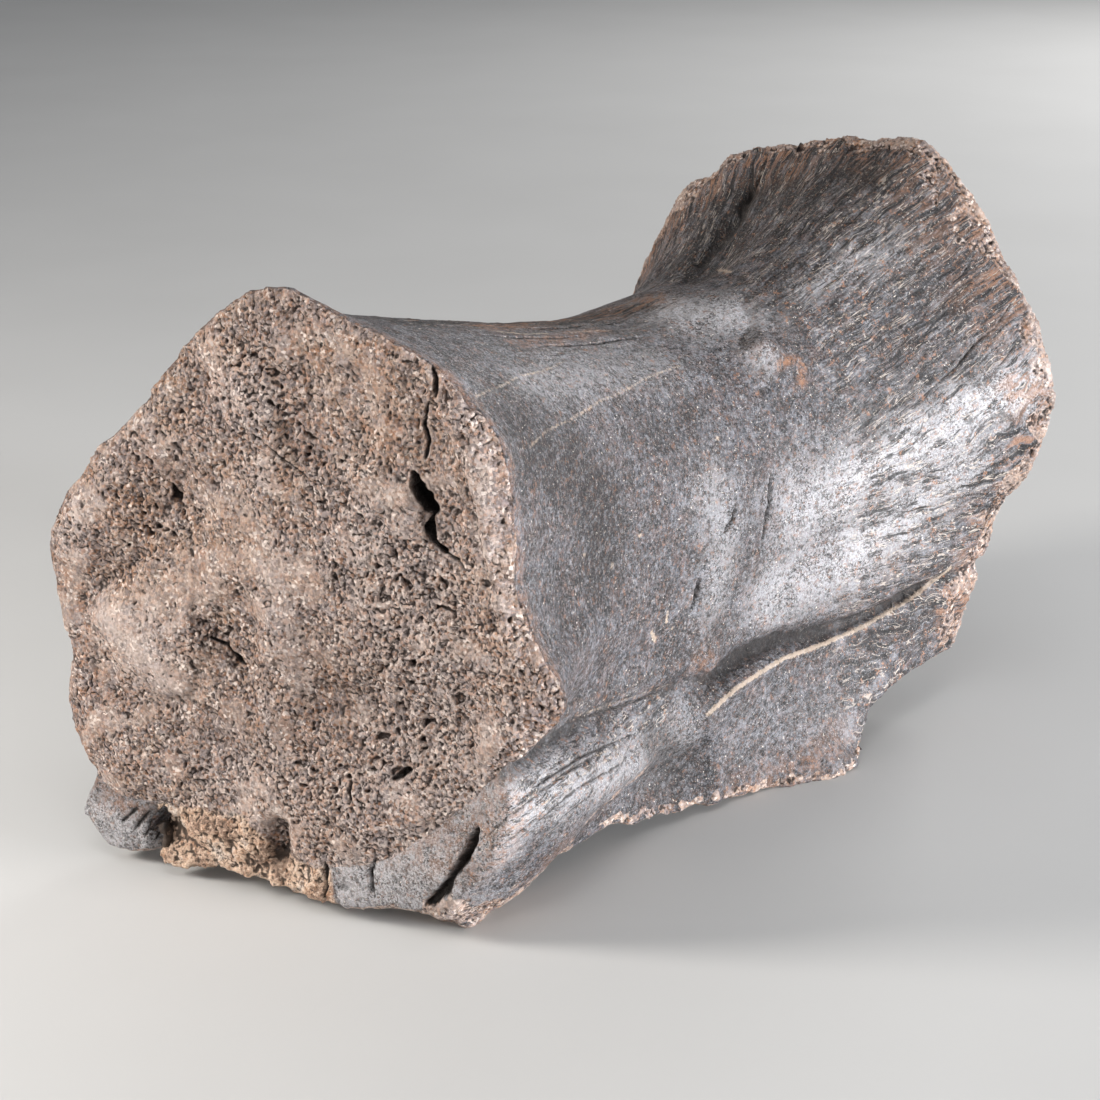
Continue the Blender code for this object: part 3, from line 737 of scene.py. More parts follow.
def rock_relief(verts, spongy, sleek, near):
    """Height in mm of worn bone: crumbs with narrow gaps, smooth crusts, small pits and ragged holes."""
    warped = verts + 0.5 * drift(verts, 1.8, 20.0)
    height = (0.22 + 0.15 * near) * noise(verts, 9.0, 11.0) + 0.24 * noise(warped, 4.4, 12.0)
    height = height + (0.15 + 0.18 * spongy) * noise(warped, 2.3, 15.0)
    gap, luck = cells(warped, 1.0, 16.0)
    crumbs = 0.24 * (luck - 0.5) + 0.26 * noise(verts, 0.66, 18.0)
    crumbs = crumbs - 0.34 * step(0.46, 0.7, gap) * step(-0.35, 0.25, noise(verts, 2.6, 74.0))
    crumbs = crumbs * (0.75 + 0.35 * noise(verts, 6.0, 17.0) + 0.5 * spongy)
    ragged = noise(warped, 2.6, 13.0) + 0.55 * noise(verts, 1.1, 14.0)
    low = 0.66 - 0.42 * spongy
    deep = (0.5 + 1.2 * spongy) * step(low, low + 0.28, ragged)
    deep = deep + 0.55 * pits(warped * (1.0, 1.0, 0.55), 1.25, 0.3, 0.3 + 0.3 * spongy, 2.0)
    deep = deep + 0.3 * pits(warped, 3.4, 0.5, 0.25, 3.0)
    return height + (crumbs - deep) * (1 - 0.8 * sleek)


def bone_relief(verts, lined, grain):
    """Height in mm of the smooth outer bone with its grain."""
    wavy = grain + drift(verts, 6.0, 36.0) * (0.0, 0.9, 0.9)
    height = 0.26 * noise(verts, 15.0, 30.0) + 0.14 * noise(verts, 5.5, 31.0)
    lines = 0.06 * noise(wavy, (12.0, 1.6, 1.6), 32.0) + 0.045 * noise(wavy, (6.0, 0.9, 0.9), 33.0)
    furrow = step(0.25, 0.7, noise(wavy, (16.0, 2.0, 2.0), 34.0))
    height = height + lines * (0.3 + 1.6 * lined) - 0.17 * furrow * lined
    height = height + 0.07 * noise(verts, 1.5, 35.0) + 0.045 * noise(verts, 0.8, 38.0)
    return height - 0.25 * pits(verts, 5.5, 0.4, 0.35, 4.0)


def sand_relief(verts):
    """Height in mm of hardened sediment."""
    warped = verts + 0.8 * drift(verts, 3.0, 44.0)
    gap, luck = cells(warped, 3.4, 8.0)
    height = 1.0 * (0.45 - gap) + 0.7 * (luck - 0.5) + 0.6 * noise(verts, 7.0, 40.0)
    height = height + 0.34 * noise(warped, 1.9, 41.0) + 0.2 * ridged(verts, 1.1, 42.0)
    return height + 0.22 * noise(verts, 0.65, 43.0) - 0.8 * pits(verts, 2.4, 0.55, 0.4, 5.0)


def crack_depth(verts, caster):
    """Depth in mm of all cracks, tapered to their ends."""
    depth = np.zeros(len(verts))
    for deep, half_width, *pixels in CRACKS:
        spots = caster.line(pixels)
        if len(spots) < 2:
            continue
        gap, share = distance_to_line(verts, spots, half_width * CRACK_REACH)
        taper = 0.35 + 0.65 * np.sin(math.pi * share) ** 0.5
        gap = gap + 0.5 * half_width * noise(verts, 1.8, 50.0) * (gap < 50)
        wide = half_width * taper
        depth = np.maximum(depth, deep * taper * step(wide * 1.25, wide * 0.25, gap))
    return depth


def on_some(weight, relief, *arrays):
    """Relief worked out only where it has a weight."""
    some = weight > 0
    height = np.zeros(len(weight))
    height[some] = relief(*(array[some] for array in arrays))
    return height


def make_skin():
    """The whole bone: places, quads, piece of each quad, closing triangles, painted fields and grain."""
    verts, quads, belongs, caster = shape_forms()
    values, quads = subdivide(np.hstack((verts, belongs)), quads)
    edges, _ = edges_of(quads)
    verts = relaxed(values[:, :3], edges, 3, 0.5, -0.5)
    belongs = values[:, 3:]
    normals = normals_of(verts, quads)
    near, far, broken, sediment = share_between(verts, normals, belongs)
    kinds = relaxed(np.stack((near, far, sediment), axis=1), edges, 3)
    on_quad = kinds[quads].mean(axis=1)
    piece = np.where(on_quad.max(axis=1) > 0.5, on_quad.argmax(axis=1) + 1, 0)
    cut_out = range(1, len(PIECES))
    for number in cut_out:
        main_island(quads, piece, number)
    coarse_rims = [open_edges(quads[piece == number]) for number in cut_out]

    # The near face gets a mesh twice as fine.
    count = len(verts)
    packed = np.hstack((verts, normals, near[:, None], far[:, None], broken[:, None], sediment[:, None]))
    used, fine = np.unique(quads[piece == 1], return_inverse=True)
    more, fine = subdivide(packed[used], fine.reshape(-1, 4))
    number = np.concatenate((used, count + np.arange(len(more) - len(used))))
    everything = np.vstack((packed, more[len(used):]))
    quads = np.vstack((quads[piece != 1], number[fine]))
    piece = np.concatenate((piece[piece != 1], np.ones(len(fine), dtype=piece.dtype)))
    verts = everything[:, :3]
    normals = everything[:, 3:6]
    normals /= np.linalg.norm(normals, axis=1, keepdims=True)
    near, far, broken, sediment = everything[:, 6:].T

    _, _, along, _ = section_place(verts)
    sandy = strokes(verts, caster, SANDY, 89.0, size=3.0) * (near > 0.02)
    sandy = step(0.3, 0.5, sandy + 0.15 * noise(verts, 1.5, 90.0))
    sediment = np.maximum(sediment, sandy)
    near = near * (1 - sandy)
    spongy = strokes(verts, caster, SPONGY, 60.0)
    spongy = np.maximum(spongy, 0.45 * step(0.1, 0.7, noise(verts, 14.0, 61.0)) * (near < 0.5))
    sleek = strokes(verts, caster, SLEEK, 62.0)
    sleek = np.maximum(sleek, 0.8 * step(0.12, 0.45, noise(verts, 6.5, 63.0)) * (1 - spongy))
    ragged = step(145.5, 148.5, along + 4.5 * noise(verts, 6.0, 71.0)) * (1 - sediment)
    marked = strokes(verts, caster, WORN, 72.0, 0.4, 3.0) * (1 - sediment)
    marked = step(0.42, 0.7, marked + 0.4 * noise(verts, 1.8, 73.0) * (marked > 0.02))
    worn = np.clip(near + far + broken + 0.9 * ragged + marked, 0, 1)
    plain = np.clip(1 - worn - sediment, 0, 1)
    rib = np.clip(strokes(verts, caster, RIB, 87.0) - 0.05, 0, 1)
    lined = np.maximum(step(96.0, 120.0, along), strokes(verts, caster, LINED, 88.0))
    lined = np.maximum(lined, rib)
    grain = grain_place(verts)
    grain[rib > 0] = verts[rib > 0] @ rib_axes(caster)
    bone = on_some(plain, bone_relief, verts, lined, grain)
    rock = on_some(worn, rock_relief, verts, spongy, sleek, near)
    sand = on_some(sediment, sand_relief, verts)

    # The side that the photograph doesn't show has cracks and patches of its own.
    hidden = step(2.0, 14.0, verts[:, 1]) * step(12.0, 26.0, along) * plain
    split = np.abs(noise(grain + 0.7 * noise(verts, 5.0, 81.0)[:, None], (80.0, 14.0, 14.0), 82.0))
    split = step(0.03, 0.01, split) * step(0.15, 0.4, noise(verts, 26.0, 83.0)) * hidden
    cracks = np.maximum(crack_depth(verts, caster), 0.7 * split)
    lift = plain * bone + worn * rock + sediment * sand - cracks
    middles = boundary_middles(quads, piece)
    verts = verts + normals * lift[:, None]
    for here, a, b in middles:
        verts[here] = (verts[a] + verts[b]) / 2
    verts[:, 2] = np.maximum(verts[:, 2], -AXIS_CENTRE[2])
    inside = verts - INWARDS * normals
    fields = {
        "worn": worn,
        "sand": sediment,
        "crack": np.clip(cracks / BLACK_CRACK, 0, 1),
        "lined": lined,
        "sleek": sleek,
        "pale": strokes(verts, caster, PALE, 0.0, 0.0),
        "rust": strokes(verts, caster, RUST, 64.0, 0.35, 3.0),
        # Painted light and painted shade, together with the bone's own lighter and darker places.
        "light": strokes(verts, caster, LIGHTER_AND_PAINTED_LIGHT, 65.0),
        "shade": strokes(verts, caster, DARKER_AND_PAINTED_SHADE, 66.0),
    }
    broken_up = 0.35 * noise(verts, 7.0, 91.0)
    for key, most, size, seed in PATCHES:
        patches = most * step(0.1, 0.7, noise(verts, size, seed) + broken_up) * hidden
        fields[key] = np.maximum(fields[key], patches)

    # Painted light on what stands out of the near face and painted shade in what lies deep in it. Rims are
    # rusty.
    rise = (-verts[:, 0] - LENGTH / 2 - YAW_SLOPE * verts[:, 1]) * near
    for key, most, low, high, seed in (("light", 0.7, 0.4, 2.4, 69.0), ("shade", 0.8, -0.6, -2.8, 70.0)):
        tones = most * step(low, high, rise + 0.5 * noise(verts, 3.0, seed)) * near
        fields[key] = np.maximum(fields[key], tones)
    margin = 0.45 * step(5.0, 1.0, along + 2.0 * noise(verts, 5.0, 67.0)) * step(-45.0, -38.0, verts[:, 2])
    margin = np.maximum(margin, 0.8 * step(138.0, 149.0, along + 4.0 * noise(verts, 6.0, 68.0)))
    fields["rust"] = np.maximum(fields["rust"], margin * plain)
    # The hollow field: painted shade, with dark dirt, in hollows over a short and a long way.
    edges, _ = edges_of(quads)
    normals = normals_of(verts, quads)
    close = np.einsum("ij,ij->i", relaxed(verts, edges, 8) - verts, normals)
    wide = np.einsum("ij,ij->i", relaxed(verts, edges, 40) - verts, normals)
    fields["hollow"] = np.clip(0.5 + close / SMALL_HOLLOW + wide / WIDE_HOLLOW, 0, 1)

    # The faces and the sediment are shut inside the bone, the plain bone by the same strips turned over.
    rims = [open_edges(quads[piece == number]) for number in cut_out]
    on_rim = np.unique(np.concatenate([np.ravel(rim) for rim in rims]))
    inner = dict(zip(on_rim, len(verts) + np.arange(len(on_rim))))
    on_plug = np.unique(rims[-1])
    roof = dict(zip([inner[i] for i in on_plug], len(verts) + len(on_rim) + np.arange(len(on_plug))))
    over = verts[on_plug] * (ROOF[0], ROOF[1], 0.0) + (0.0, 0.0, ROOF[2])
    verts = np.vstack((verts, inside[on_rim], over, TIPS))
    tips = len(verts) - len(TIPS) + np.arange(len(TIPS))
    closing = [[]]
    for number, tip, rim, coarse in zip(cut_out, tips, rims, coarse_rims):
        levels = (inner, roof) if number == cut_out[-1] else (inner,)
        closing[0] += [triangle[::-1] for triangle in shut(coarse, levels, tip)]
        closing.append(shut(rim, levels, tip))
    return verts, quads, piece, closing, fields, grain


def shut(rim, levels, tip):
    """Triangles that lead from a rim through the levels to one vertex inside the bone."""
    triangles = []
    for a, b in rim:
        for level in levels:
            triangles += [(b, a, level[a]), (b, level[a], level[b])]
            a, b = level[a], level[b]
        triangles.append((b, a, tip))
    return triangles


def boundary_middles(quads, piece):
    """New vertices in the middle of an edge that the finer face shares with a coarser piece."""
    is_coarse = np.zeros(int(quads.max()) + 1, dtype=bool)
    is_coarse[np.unique(quads[piece != 1])] = True
    found = {}
    for a, b in open_edges(quads[piece == 1]):
        for old, new in ((a, b), (b, a)):
            if is_coarse[old] and not is_coarse[new]:
                found.setdefault(new, []).append(old)
    return [(new, old[0], old[1]) for new, old in found.items() if len(old) == 2]


def make_piece(name, verts, quads, closing, fields, grain):
    """One closed piece: its share of the skin and the strips that shut it inside the bone."""
    triangles = np.array(closing)
    used, local = np.unique(np.concatenate((quads.ravel(), triangles.ravel())), return_inverse=True)
    sizes = np.concatenate((np.full(len(quads), 4), np.full(len(triangles), 3)))
    mesh = bpy.data.meshes.new(name)
    mesh.vertices.add(len(used))
    mesh.vertices.foreach_set("co", ((verts[used] + AXIS_CENTRE) * MM).astype(np.float32).ravel())
    mesh.loops.add(len(local))
    mesh.loops.foreach_set("vertex_index", local.astype(np.int32))
    mesh.polygons.add(len(sizes))
    mesh.polygons.foreach_set("loop_start", np.concatenate(((0,), np.cumsum(sizes)[:-1])).astype(np.int32))
    mesh.polygons.foreach_set("use_smooth", sizes == 4)
    mesh.update(calc_edges=True)
    for key, values in fields.items():
        data = np.append(values, np.zeros(len(verts) - len(values)))[used].astype(np.float32)
        mesh.attributes.new(key, "FLOAT", "POINT").data.foreach_set("value", data)
    data = np.vstack((grain, np.zeros((len(verts) - len(grain), 3))))[used].astype(np.float32)
    mesh.attributes.new("grain", "FLOAT_VECTOR", "POINT").data.foreach_set("vector", data.ravel())
    return linked(name, mesh)


class Tree:
    """Short way to build a material's nodes."""

    def __init__(self, name):
        self.material = bpy.data.materials.new(name)
        self.material.use_nodes = True
        self.nodes = self.material.node_tree.nodes
        self.links = self.material.node_tree.links
        self.nodes.clear()
        self.place = self.add("ShaderNodeTexCoord").outputs["Object"]

    def add(self, kind, **inputs):
        node = self.nodes.new(kind)
        for key, value in inputs.items():
            self.put(node.inputs[key.replace("_", " ")], value)
        return node

    def put(self, socket, value):
        if isinstance(value, bpy.types.NodeSocket):
            self.links.new(value, socket)
        else:
            socket.default_value = value

    def step(self, node, kind, *values):
        """Result of one step of arithmetic."""
        node = self.add(node)
        node.operation = kind
        for socket, value in zip(node.inputs, values):
            self.put(socket, value)
        return node.outputs[0]

    def sum(self, kind, a, b):
        return self.step("ShaderNodeMath", kind, a, b)

    def times(self, a, b):
        return self.sum("MULTIPLY", a, b)

    def vector(self, kind, *values):
        return self.step("ShaderNodeVectorMath", kind, *values)

    def field(self, name, output="Fac"):
        node = self.add("ShaderNodeAttribute")
        node.attribute_name = name
        return node.outputs[output]

    def noise(self, size, detail=3.0, roughness=0.5, vector=None):
        """Noise with a wavelength in mm; a vector in mm replaces the place."""
        scale = 1.0 / size if vector is not None else 1.0 / (size * MM)
        node = self.add("ShaderNodeTexNoise", Scale=scale, Detail=detail, Roughness=roughness)
        self.put(node.inputs["Vector"], self.place if vector is None else vector)
        return node.outputs["Fac"]

    def place_mm(self, turn):
        """Place in mm, shifted, so that two noises of one size don't match."""
        return self.moved((turn * 10.0, turn * 7.0, turn * 3.0), self.place, 1.0 / MM)

    def mosaic(self, size, vector):
        """Random colour for each cell of a mosaic."""
        return self.add("ShaderNodeTexVoronoi", Scale=1.0 / (size * MM), Vector=vector).outputs["Color"]

    def crystal(self, size, vector):
        """Two random numbers for each cell of a mosaic."""
        split = self.add("ShaderNodeSeparateColor", Color=self.mosaic(size, vector))
        return split.outputs[0], split.outputs[1]

    def facets(self, size, amount, normal):
        """Normal tilted at random, cell by cell of a mosaic, for sparkling grains."""
        tilt = self.vector("SUBTRACT", self.mosaic(size, self.place), (0.5, 0.5, 0.5))
        return self.vector("NORMALIZE", self.vector("MULTIPLY_ADD", tilt, amount, normal))

    def warp(self, amount, size):
        """Place shifted by noise, amount and size in mm."""
        return self.wavy(self.place, amount * MM, size)

    def wavy(self, vector, amount, size):
        """Coordinates that wander by an amount, over a size in mm."""
        node = self.add("ShaderNodeTexNoise", Scale=1.0 / (size * MM), Detail=2.0, Vector=self.place)
        return self.moved(vector, node.outputs["Color"], 2.0 * amount)

    def moved(self, vector, colour, amount):
        return self.vector("MULTIPLY_ADD", colour, (amount, amount, amount), vector)

    def stretch(self, vector, scale):
        return self.vector("MULTIPLY", vector, scale)

    def between(self, value, low, high, out_low=0.0, out_high=1.0):
        limits = {"From_Min": low, "From_Max": high, "To_Min": out_low, "To_Max": out_high}
        node = self.add("ShaderNodeMapRange", Value=value, **limits)
        node.interpolation_type = "SMOOTHSTEP"
        return node.outputs[0]

    def ramp(self, value, *stops):
        node = self.add("ShaderNodeValToRGB", Fac=value)
        bar = node.color_ramp
        while len(bar.elements) < len(stops):
            bar.elements.new(0.5)
        for element, (place, colour) in zip(bar.elements, stops):
            element.position = place
            element.color = (*colour, 1.0)
        return node.outputs["Color"]

    def mix(self, share, a, b):
        node = self.add("ShaderNodeMix")
        node.data_type = "RGBA"
        self.put(node.inputs["Factor"], share)
        for socket, value in ((node.inputs[6], a), (node.inputs[7], b)):
            self.put(socket, (*value, 1.0) if isinstance(value, tuple) else value)
        return node.outputs[2]

    def blend(self, share, a, b):
        node = self.add("ShaderNodeMix")
        node.data_type = "FLOAT"
        self.put(node.inputs[0], share)
        self.put(node.inputs[2], a)
        self.put(node.inputs[3], b)
        return node.outputs[0]

    def tint(self, share, colour):
        """Lay a share of a colour over the colour so far."""
        self.colour = self.mix(share, self.colour, colour)

    def finish(self, **inputs):
        """Add the shader and give the material."""
        shader = self.add("ShaderNodeBsdfPrincipled", **inputs)
        out = self.add("ShaderNodeOutputMaterial")
        self.links.new(shader.outputs[0], out.inputs["Surface"])
        return self.material


def rock_look(t):
    """Colour, roughness and bump height of worn spongy bone: tan crusts, rusty and purplish grains."""
    bent = t.warp(0.4, 1.0)
    grain, hue = t.crystal(0.48, bent)
    sleek = t.field("sleek")
    crumbly = t.blend(sleek, 1.0, 0.3)
    t.colour = t.ramp(
        t.noise(13.0, 6.0, 0.7), (0.36, (0.175, 0.122, 0.106)), (0.46, (0.262, 0.19, 0.158)),
        (0.54, (0.312, 0.228, 0.176)), (0.64, (0.31, 0.178, 0.108)),
    )
    t.tint(t.times(sleek, 0.7), (0.385, 0.292, 0.24))
    warm = t.between(t.noise(2.4, 4.0, 0.75), 0.48, 0.62)
    warm = t.times(warm, t.blend(t.field("rust"), 0.45, 0.95))
    t.tint(warm, (0.33, 0.16, 0.084))
    cold = t.between(t.noise(3.2, 4.0, 0.75, t.place_mm(3.0)), 0.5, 0.64)
    t.tint(t.times(cold, 0.6), (0.235, 0.2, 0.2))
    # Painted light and painted shade, with the bone's own lighter and darker places.
    t.tint(t.times(t.field("light"), 0.65), (0.52, 0.45, 0.42))
    t.tint(t.times(t.field("shade"), 0.6), (0.11, 0.072, 0.06))
    patch = t.noise(1.1, 3.0, 0.75, t.stretch(t.place_mm(5.0), (1.0, 1.0, 0.6)))
    dark = t.times(t.between(patch, 0.47, 0.38), t.times(crumbly, 0.9))
    t.tint(dark, (0.056, 0.034, 0.026))
    bright = t.times(t.between(patch, 0.53, 0.63), t.times(crumbly, 0.6))
    t.tint(bright, (0.6, 0.5, 0.44))
    dark = t.times(t.between(grain, 0.4, 0.18), t.times(crumbly, 0.75))
    t.tint(dark, (0.05, 0.03, 0.023))
    sparkle = t.times(t.between(grain, 0.78, 0.92), t.between(t.noise(4.0, 4.0, 0.7), 0.42, 0.56))
    t.tint(t.times(sparkle, 0.65), (0.78, 0.68, 0.61))
    rusty = t.times(t.between(hue, 0.7, 0.92), t.blend(sleek, 0.42, 0.18))
    t.tint(rusty, (0.33, 0.15, 0.07))
    greyish = t.times(t.between(hue, 0.4, 0.12), t.blend(sleek, 0.6, 0.25))
    t.tint(greyish, (0.17, 0.145, 0.148))
    # Painted shade with dark dirt in the hollows, a lighter tone on the crests.
    hollow = t.field("hollow")
    t.tint(t.between(hollow, 0.53, 0.8, 0.0, 0.94), (0.022, 0.013, 0.01))
    t.tint(t.between(hollow, 0.42, 0.1, 0.0, 0.25), (0.47, 0.37, 0.315))
    rough = t.between(grain, 0.3, 0.95, 0.75, 0.36)
    height = t.sum("ADD", t.times(grain, t.blend(sleek, 0.34, 0.1)), t.noise(0.5, 4.0, 0.8))
    return t.colour, rough, height


def sand_look(t):
    """Colour, roughness and bump height of hardened sediment."""
    grain = t.noise(0.6, 4.0, 0.8)
    broad = t.noise(5.0, 6.0, 0.7)
    t.colour = t.ramp(
        broad, (0.4, (0.25, 0.16, 0.112)), (0.47, (0.42, 0.285, 0.205)), (0.54, (0.56, 0.4, 0.29)),
        (0.62, (0.45, 0.375, 0.32)),
    )
    rusty = t.between(t.noise(2.0, 4.0, 0.75, t.place_mm(8.0)), 0.52, 0.62, 0.0, 0.55)
    t.tint(rusty, (0.37, 0.185, 0.095))
    t.tint(t.between(grain, 0.49, 0.41, 0.0, 0.85), (0.065, 0.04, 0.028))
    t.tint(t.between(grain, 0.55, 0.62, 0.0, 0.65), (0.72, 0.6, 0.48))
    # Painted shade, and painted shade with dark dirt in the hollows.
    t.tint(t.times(t.field("shade"), 0.7), (0.06, 0.038, 0.026))
    t.tint(t.between(t.field("hollow"), 0.53, 0.85, 0.0, 0.92), (0.03, 0.018, 0.012))
    return t.colour, 0.75, grain


def bone_look(t):
    """Colour, roughness and bump height of the dark outer bone with its fine grain."""
    grain = t.wavy(t.field("grain", "Vector"), 1.0, 6.0)
    lined = t.field("lined")
    light = t.field("light")
    t.colour = t.ramp(
        t.noise(14.0, 5.0, 0.65), (0.34, (0.012, 0.01, 0.011)), (0.44, (0.032, 0.03, 0.034)),
        (0.55, (0.08, 0.082, 0.094)), (0.68, (0.066, 0.048, 0.044)),
    )
    blotch = t.noise(4.5, 5.0, 0.75)
    t.tint(t.between(blotch, 0.5, 0.42, 0.0, 0.75), (0.012, 0.01, 0.01))
    t.tint(t.between(blotch, 0.53, 0.65, 0.0, 0.5), (0.125, 0.127, 0.145))
    purple = t.between(t.noise(3.2, 5.0, 0.75, t.place_mm(2.0)), 0.5, 0.62)
    t.tint(t.times(purple, 0.6), (0.092, 0.058, 0.053))
    # Painted light and painted shade, with the bone's own lighter and darker places.
    t.tint(t.times(light, 0.82), (0.5, 0.486, 0.494))
    t.tint(t.times(t.field("shade"), 0.85), (0.012, 0.01, 0.01))
    streaky = t.noise(1.2, 4.0, 0.75, t.stretch(grain, (0.3, 1.0, 1.0)))
    granular = t.noise(1.2, 5.0, 0.8, t.place_mm(4.0))
    streak = t.blend(t.between(lined, 0.0, 0.6, 0.0, 0.85), granular, streaky)
    busy = t.between(t.noise(6.0, 3.0, 0.6, t.place_mm(6.0)), 0.44, 0.57, 0.35, 1.0)
    # Fewer dark streaks where painted light lies.
    dark = t.times(t.between(streak, 0.5, 0.41), t.blend(light, 0.95, 0.65))
    t.tint(dark, (0.007, 0.006, 0.006))
    t.tint(t.between(streak, 0.52, 0.61, 0.0, 0.65), (0.215, 0.212, 0.226))
    crumbs = t.noise(0.5, 2.0, 0.8)
    dark = t.times(t.between(crumbs, 0.49, 0.38), busy)
    t.tint(t.times(dark, 0.9), (0.008, 0.007, 0.007))
    t.tint(t.between(crumbs, 0.57, 0.7, 0.0, 0.5), (0.27, 0.26, 0.262))
    facet, hue = t.crystal(0.3, t.warp(0.4, 0.6))
    dark = t.times(t.between(facet, 0.42, 0.2), t.times(busy, 0.5))
    t.tint(dark, (0.009, 0.008, 0.008))
    bright = t.times(t.between(facet, 0.68, 0.92), t.times(busy, 0.25))
    t.tint(bright, (0.23, 0.225, 0.235))
    t.tint(t.between(hue, 0.74, 0.92, 0.0, 0.45), (0.12, 0.072, 0.055))
    long = t.noise(0.9, 4.0, 0.75, t.stretch(grain, (0.08, 1.0, 1.0)))
    dark = t.times(t.between(long, 0.47, 0.4), t.times(lined, 0.9))
    t.tint(dark, (0.007, 0.006, 0.006))
    level = t.noise(1.0, 2.0, 0.6, t.stretch(grain, (0.045, 0.8, 0.8)))
    off = t.sum("ABSOLUTE", t.sum("SUBTRACT", level, 0.5), 0.0)
    thread = t.times(t.between(off, 0.016, 0.005), t.between(t.noise(3.5, 4.0, 0.8), 0.45, 0.53))
    t.tint(t.times(thread, t.times(lined, 0.75)), (0.42, 0.36, 0.31))
    spots = t.between(t.noise(1.5, 5.0, 0.85), 0.57, 0.63)
    t.tint(t.times(spots, t.blend(lined, 0.5, 0.8)), (0.26, 0.125, 0.07))
    specks = t.between(t.noise(0.6, 3.0, 0.8, t.place_mm(1.0)), 0.64, 0.68)
    t.tint(t.times(specks, 0.85), (0.64, 0.57, 0.5))
    rust = t.blend(lined, t.between(t.noise(1.6, 6.0, 0.8), 0.44, 0.56), t.between(long, 0.49, 0.56))
    rust = t.times(rust, t.field("rust"))
    t.tint(t.times(rust, 0.85), (0.27, 0.135, 0.076))
    broken = t.times(t.sum("SUBTRACT", t.noise(0.7, 5.0, 0.8), 0.5), 2.0)
    pale = t.between(t.sum("ADD", t.field("pale"), broken), 0.4, 0.75)
    t.tint(t.times(pale, 0.65), (0.43, 0.335, 0.255))
    # Painted shade with dark dirt in the hollows, then more painted shade.
    t.tint(t.between(t.field("hollow"), 0.58, 1.0, 0.0, 0.75), (0.012, 0.009, 0.008))
    t.tint(t.times(t.field("shade"), 0.38), (0.008, 0.007, 0.007))
    rough = t.between(facet, 0.2, 0.9, 0.72, 0.42)
    rough = t.blend(t.sum("MAXIMUM", t.field("rust"), t.field("shade")), rough, 0.85)
    height = t.sum("ADD", t.times(streak, 1.5), crumbs)
    height = t.sum("ADD", t.times(long, lined), height)
    return t.colour, rough, height


def make_material(name):
    """One finish for the whole bone; painted fields say where it is worn, sandy, cracked or stained."""
    t = Tree(name)
    bone = bone_look(t)
    rock = rock_look(t)
    sand = sand_look(t)
    ragged = t.times(t.sum("SUBTRACT", t.noise(1.5, 4.0, 0.7), 0.5), 0.7)
    worn = t.between(t.sum("ADD", t.field("worn"), ragged), 0.35, 0.65)
    sandy = t.field("sand")
    t.colour = t.mix(sandy, t.mix(worn, bone[0], rock[0]), sand[0])
    t.tint(t.times(t.field("crack"), 0.9), (0.012, 0.008, 0.006))
    rough = t.blend(sandy, t.blend(worn, bone[1], rock[1]), sand[1])
    height = t.blend(sandy, t.blend(worn, bone[2], rock[2]), sand[2])
    strength = t.blend(t.sum("MAXIMUM", worn, sandy), 0.3, 0.45)
    bump = t.add("ShaderNodeBump", Strength=0.9, Height=t.times(height, strength), Distance=MM)
    normal = t.facets(0.4, t.blend(worn, 0.2, 0.55), bump.outputs[0])
    return t.finish(Base_Color=t.colour, Roughness=rough, Normal=normal, Specular_IOR_Level=0.42)


def dress():
    """Make the pieces of the bone and give them their finish."""
    verts, quads, piece, closing, fields, grain = make_skin()
    for number, (name, slot, nodes) in enumerate(PIECES):
        thing = make_piece(name, verts, quads[piece == number], closing[number], fields, grain)
        thing.data.materials.append(make_material(slot + "_" + name))
        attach(thing, "root")
        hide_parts(*nodes)


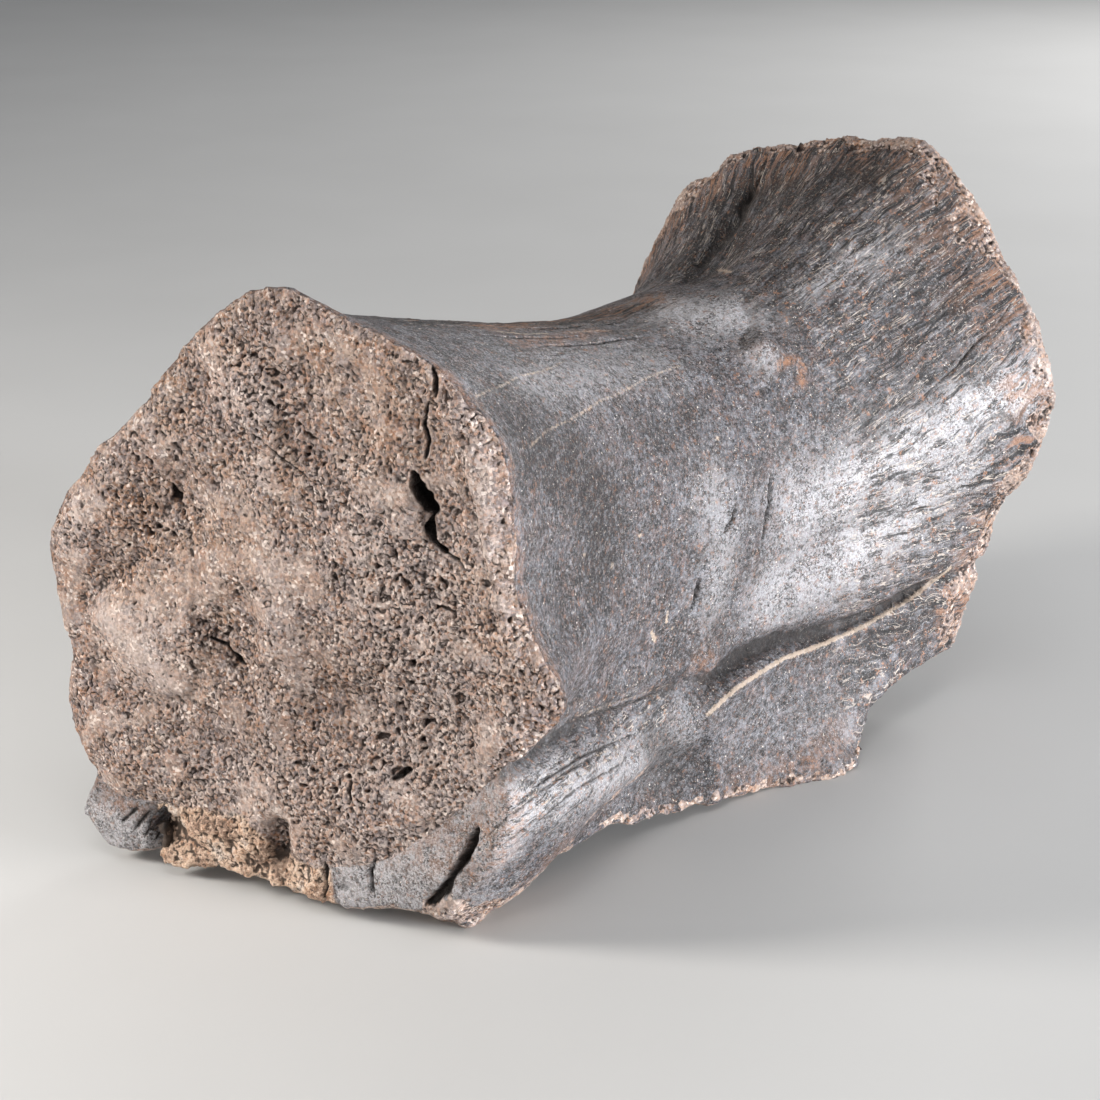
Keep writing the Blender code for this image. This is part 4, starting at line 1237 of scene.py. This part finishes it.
def make_floor():
    bm = bmesh.new()
    bmesh.ops.create_grid(bm, x_segments=2, y_segments=2, size=3.0)
    mesh = bpy.data.meshes.new("floor")
    bm.to_mesh(mesh)
    bm.free()
    floor = linked("floor", mesh)
    t = Tree("floor_paper")
    colour = t.mix(t.noise(60.0, 2.0), (0.48, 0.475, 0.465), (0.52, 0.515, 0.505))
    mesh.materials.append(t.finish(Base_Color=colour, Roughness=0.7))


def area_light(name, aim, azimuth, elevation, distance, size, power, colour=(1.0, 1.0, 1.0)):
    """Square soft light that faces a place on the bone, in degrees as for the camera."""
    turn = math.radians(azimuth)
    rise = math.radians(elevation)
    way = Vector((math.sin(turn) * math.cos(rise), -math.cos(turn) * math.cos(rise), math.sin(rise)))
    data = bpy.data.lights.new(name, "AREA")
    data.shape = "SQUARE"
    data.size = size
    data.energy = power
    data.color = colour
    lamp = linked(name, data)
    lamp.location = Vector(aim) + way * distance
    lamp.rotation_euler = way.to_track_quat("Z", "Y").to_euler()


def make_studio():
    world = bpy.data.worlds.new("studio")
    world.use_nodes = True
    ground = world.node_tree.nodes["Background"]
    ground.inputs["Color"].default_value = (0.84, 0.87, 0.92, 1.0)
    ground.inputs["Strength"].default_value = 0.24
    bpy.context.scene.world = world
    bpy.context.scene.view_settings.view_transform = "Standard"
    middle = (0.0, 0.0, 0.05)
    area_light("key", (-0.07, 0.0, 0.05), -132.0, 27.0, 0.5, 0.14, 3.2, (1.0, 0.965, 0.92))
    area_light("side", middle, 12.0, 0.0, 0.9, 0.24, 33.0, (0.94, 0.965, 1.0))
    area_light("front", middle, -50.0, 60.0, 1.2, 0.5, 3.6)
    area_light("low", (-0.075, -0.02, 0.01), -100.0, 4.0, 0.42, 0.16, 1.5, (1.0, 0.965, 0.93))
    area_light("rim", middle, 100.0, 20.0, 1.1, 0.4, 5.0)


def make_camera():
    right, up, back = camera_axes()
    data = bpy.data.cameras.new("camera")
    data.sensor_width = SENSOR_WIDTH
    data.lens = SENSOR_WIDTH * FOCAL_PIXELS / FRAME_PIXELS
    data.clip_start = 0.01
    camera = linked("camera", data)
    turn = Matrix((right, up, back)).transposed().to_4x4()
    camera.matrix_world = Matrix.Translation((camera_place() + AXIS_CENTRE) * MM) @ turn
    bpy.context.scene.camera = camera


make_camera()
make_studio()
make_floor()
dress()
